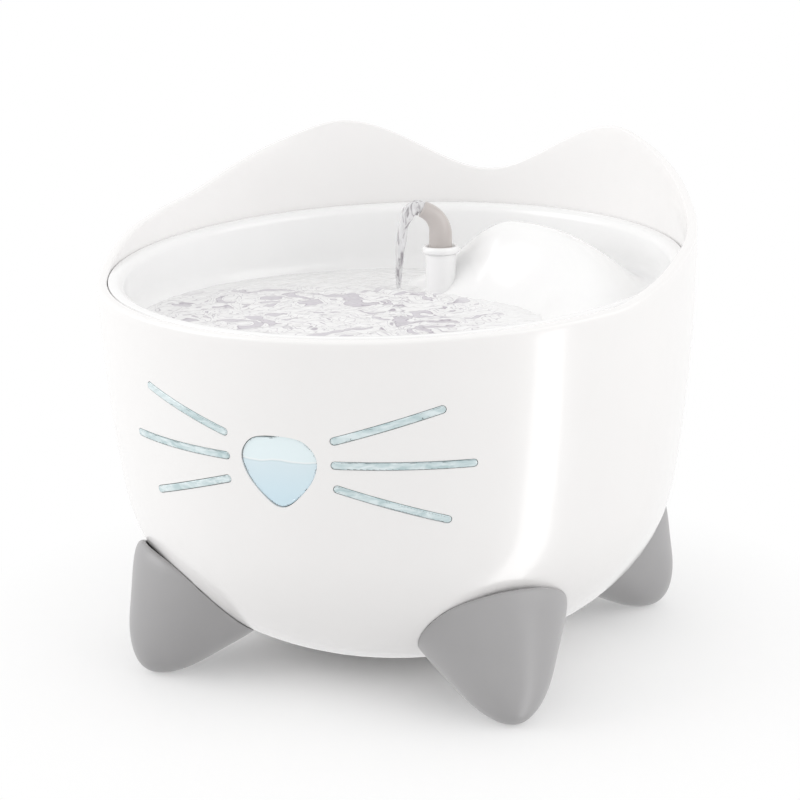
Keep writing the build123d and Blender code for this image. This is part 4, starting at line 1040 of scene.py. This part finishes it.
# %% Foam pad
low, high = (Vector(corner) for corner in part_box("foam_pad"))
pad_middle = (low + high) / 2
pad_out_r = (high.x - low.x) / 2
pad_in_r = min(math.hypot(point.co.x - pad_middle.x, point.co.y - pad_middle.y)
               for point in frame["nodes"]["foam_pad"].data.vertices)
pad_bottom, pad_top = low.z, high.z
flat_steps, side_steps = 62, 12
pore_size, pore_depth = 2.2, 0.75
pad_section = []
for step in range(flat_steps + 1):
    share = step / flat_steps
    pad_section.append((pad_in_r + (pad_out_r - pad_in_r) * share, pad_top, 0, 1))
for step in range(1, side_steps):
    pad_section.append((pad_out_r, pad_top + (pad_bottom - pad_top) * step / side_steps, 1, 0))
for step in range(flat_steps + 1):
    share = step / flat_steps
    pad_section.append((pad_out_r + (pad_in_r - pad_out_r) * share, pad_bottom, 0, -1))
for step in range(1, side_steps + 1):
    pad_section.append((pad_in_r, pad_bottom + (pad_top - pad_bottom) * step / side_steps, -1, 0))


def pad_place(ring, turn):
    radius, z, out, up = pad_section[ring]
    along, across = math.cos(turn), math.sin(turn)
    spot = Vector((pad_middle.x + radius * along, pad_middle.y + radius * across, z))
    near = noise.voronoi(spot / (pore_size * MM))[0][0]
    press = pore_depth * MM * max(1 - near / 0.5, 0.0) ** 0.7
    radius -= out * press
    return Vector((pad_middle.x + radius * along, pad_middle.y + radius * across, z - up * press))


foam = ring_piece("foam_ring", len(pad_section), 360, pad_place, 80.0)
settle(foam, "foam_grey", "foam_pad")

# %% [markdown]
# ## The pump's lead
# A thin black lead runs from the pump round the filter housing and up the back wall to the
# power inlet. Its route is the control polygon of one soft NURBS line, which rounds every
# corner by itself, as a limp lead does.

# %% Lead
lead_route = [(20, 38, 40.5), (45, 38, 40.5), (51, 62.5, 44.5), (41, 83, 51), (25, 100, 63),
              (11, 107, 80), (0.5, 106.8, 95), (0, 107, 112.5)]
lead_data = bpy.data.curves.new("pump_lead", "CURVE")
lead_data.dimensions = "3D"
lead_data.bevel_depth = 1.75 * MM
lead_data.bevel_resolution = 6
lead_data.resolution_u = 16
line = lead_data.splines.new("NURBS")
line.points.add(len(lead_route) - 1)
for point, spot in zip(line.points, lead_route):
    point.co = (spot[0] * MM, spot[1] * MM, spot[2] * MM, 1)
line.order_u = 3
line.use_endpoint_u = True
lead = bpy.data.objects.new("pump_lead", lead_data)
bpy.context.scene.collection.objects.link(lead)
lead_data.materials.append(finishes["rubber_black"])
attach(lead, "root")
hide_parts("lead")
print("lead laid")

# %% [markdown]
# ## Floor and light
# The fountain stands on a plain white floor that fades into a white surround. Two large soft
# lamps, a stronger one at the front left and a weaker one at the right, model the body, and
# the surround fills the rest.

# %% Floor
clear_selection()
bpy.ops.mesh.primitive_circle_add(vertices=96, radius=3.0, fill_type="NGON", location=(0, 0, 0))
floor = bpy.context.object
floor.name = "studio_floor"
material, shader, place = new_finish("floor_white")
speckle = add_node(material, "TexNoise", {"Scale": 60.0, "Detail": 2.0}, {"Vector": place})
tree = material.node_tree
pale = two_shades(material, speckle.outputs["Fac"], (0.93, 0.93, 0.93), (0.95, 0.95, 0.95))
rays = add_node(material, "LightPath")
tone = add_node(material, "Mix", {6: (0.76, 0.76, 0.76, 1)},
                {0: rays.outputs["Is Camera Ray"], 7: pale}, data_type="RGBA")
tree.links.new(tone.outputs[2], shader.inputs["Base Color"])
shader.inputs["Roughness"].default_value = 0.6
shader.inputs["Specular IOR Level"].default_value = 0.1
glow = add_node(material, "Emission", {"Color": (1, 1, 1, 1), "Strength": 1.0})
reach = add_node(material, "VectorMath", links={0: place}, operation="LENGTH")
fade = add_node(material, "MapRange", {"From Min": 0.04, "From Max": 0.2},
                {"Value": reach.outputs["Value"]})
seen = add_node(material, "Math", links={0: rays.outputs["Is Camera Ray"],
                                         1: rays.outputs["Is Glossy Ray"]}, operation="MAXIMUM")
both = add_node(material, "Math", links={0: seen.outputs["Value"], 1: fade.outputs["Result"]},
                operation="MULTIPLY")
blend = add_node(material, "MixShader", links={0: both.outputs["Value"],
                                               1: shader.outputs["BSDF"],
                                               2: glow.outputs["Emission"]})
tree.links.new(blend.outputs["Shader"], tree.nodes["Material Output"].inputs["Surface"])
floor.data.materials.append(material)

# %% World
world = bpy.context.scene.world or bpy.data.worlds.new("surround")
bpy.context.scene.world = world
world.use_nodes = True
world.node_tree.nodes.clear()
fill = add_node(world, "Background", {"Color": (1.0, 0.995, 0.99, 1), "Strength": 0.81})
shown = add_node(world, "Background", {"Color": (1, 1, 1, 1), "Strength": 1.0})
rays = add_node(world, "LightPath")
direct = add_node(world, "Math", links={0: rays.outputs["Is Camera Ray"],
                                        1: rays.outputs["Is Glossy Ray"]}, operation="MAXIMUM")
blend = add_node(world, "MixShader", links={0: direct.outputs["Value"],
                                            1: fill.outputs["Background"],
                                            2: shown.outputs["Background"]})
add_node(world, "OutputWorld", links={"Surface": blend.outputs["Shader"]})


# %% Lamps
def soft_lamp(title, place, size, power):
    data = bpy.data.lights.new(title, "AREA")
    data.shape = "RECTANGLE"
    data.size = size
    data.size_y = size
    data.energy = power
    lamp = bpy.data.objects.new(title, data)
    bpy.context.scene.collection.objects.link(lamp)
    lamp.location = place
    to_body = Vector((0, 0, 0.1)) - Vector(place)
    lamp.rotation_euler = to_body.to_track_quat("-Z", "Y").to_euler()


soft_lamp("left_lamp", (-1.75, -0.85, 1.1), 1.6, 16.0)
soft_lamp("right_lamp", (1.85, -0.1, 1.0), 1.8, 12.0)

# %% [markdown]
# A round wall that leans in towards its foot mirrors what lies below the horizon. So the soft
# upright gloss band on the front comes from a long bright card that hangs below the floor and
# shows only in reflections, and the floor leaves reflections alone.

# %% Reflection card
floor.visible_glossy = False
clear_selection()
card_turn = math.radians(77)
card_place = Vector((1.2 * math.sin(card_turn), -1.2 * math.cos(card_turn), -0.75))
bpy.ops.mesh.primitive_plane_add(size=1.0, location=card_place)
card = bpy.context.object
card.name = "gloss_card"
card.scale = (0.32, 1.7, 1.0)
card.rotation_euler = (Vector((0, 0, 0.09)) - card_place).to_track_quat("Z", "Y").to_euler()
material, shader, place = new_finish("card_white")
shine = add_node(material, "Emission", {"Color": (1, 1, 1, 1), "Strength": 4.5})
material.node_tree.links.new(shine.outputs["Emission"],
                             material.node_tree.nodes["Material Output"].inputs["Surface"])
material.cycles.emission_sampling = "NONE"
card.data.materials.append(material)
card.visible_camera = False
card.visible_diffuse = False
card.visible_shadow = False
card.visible_transmission = False
bpy.context.scene.view_settings.view_transform = "Standard"
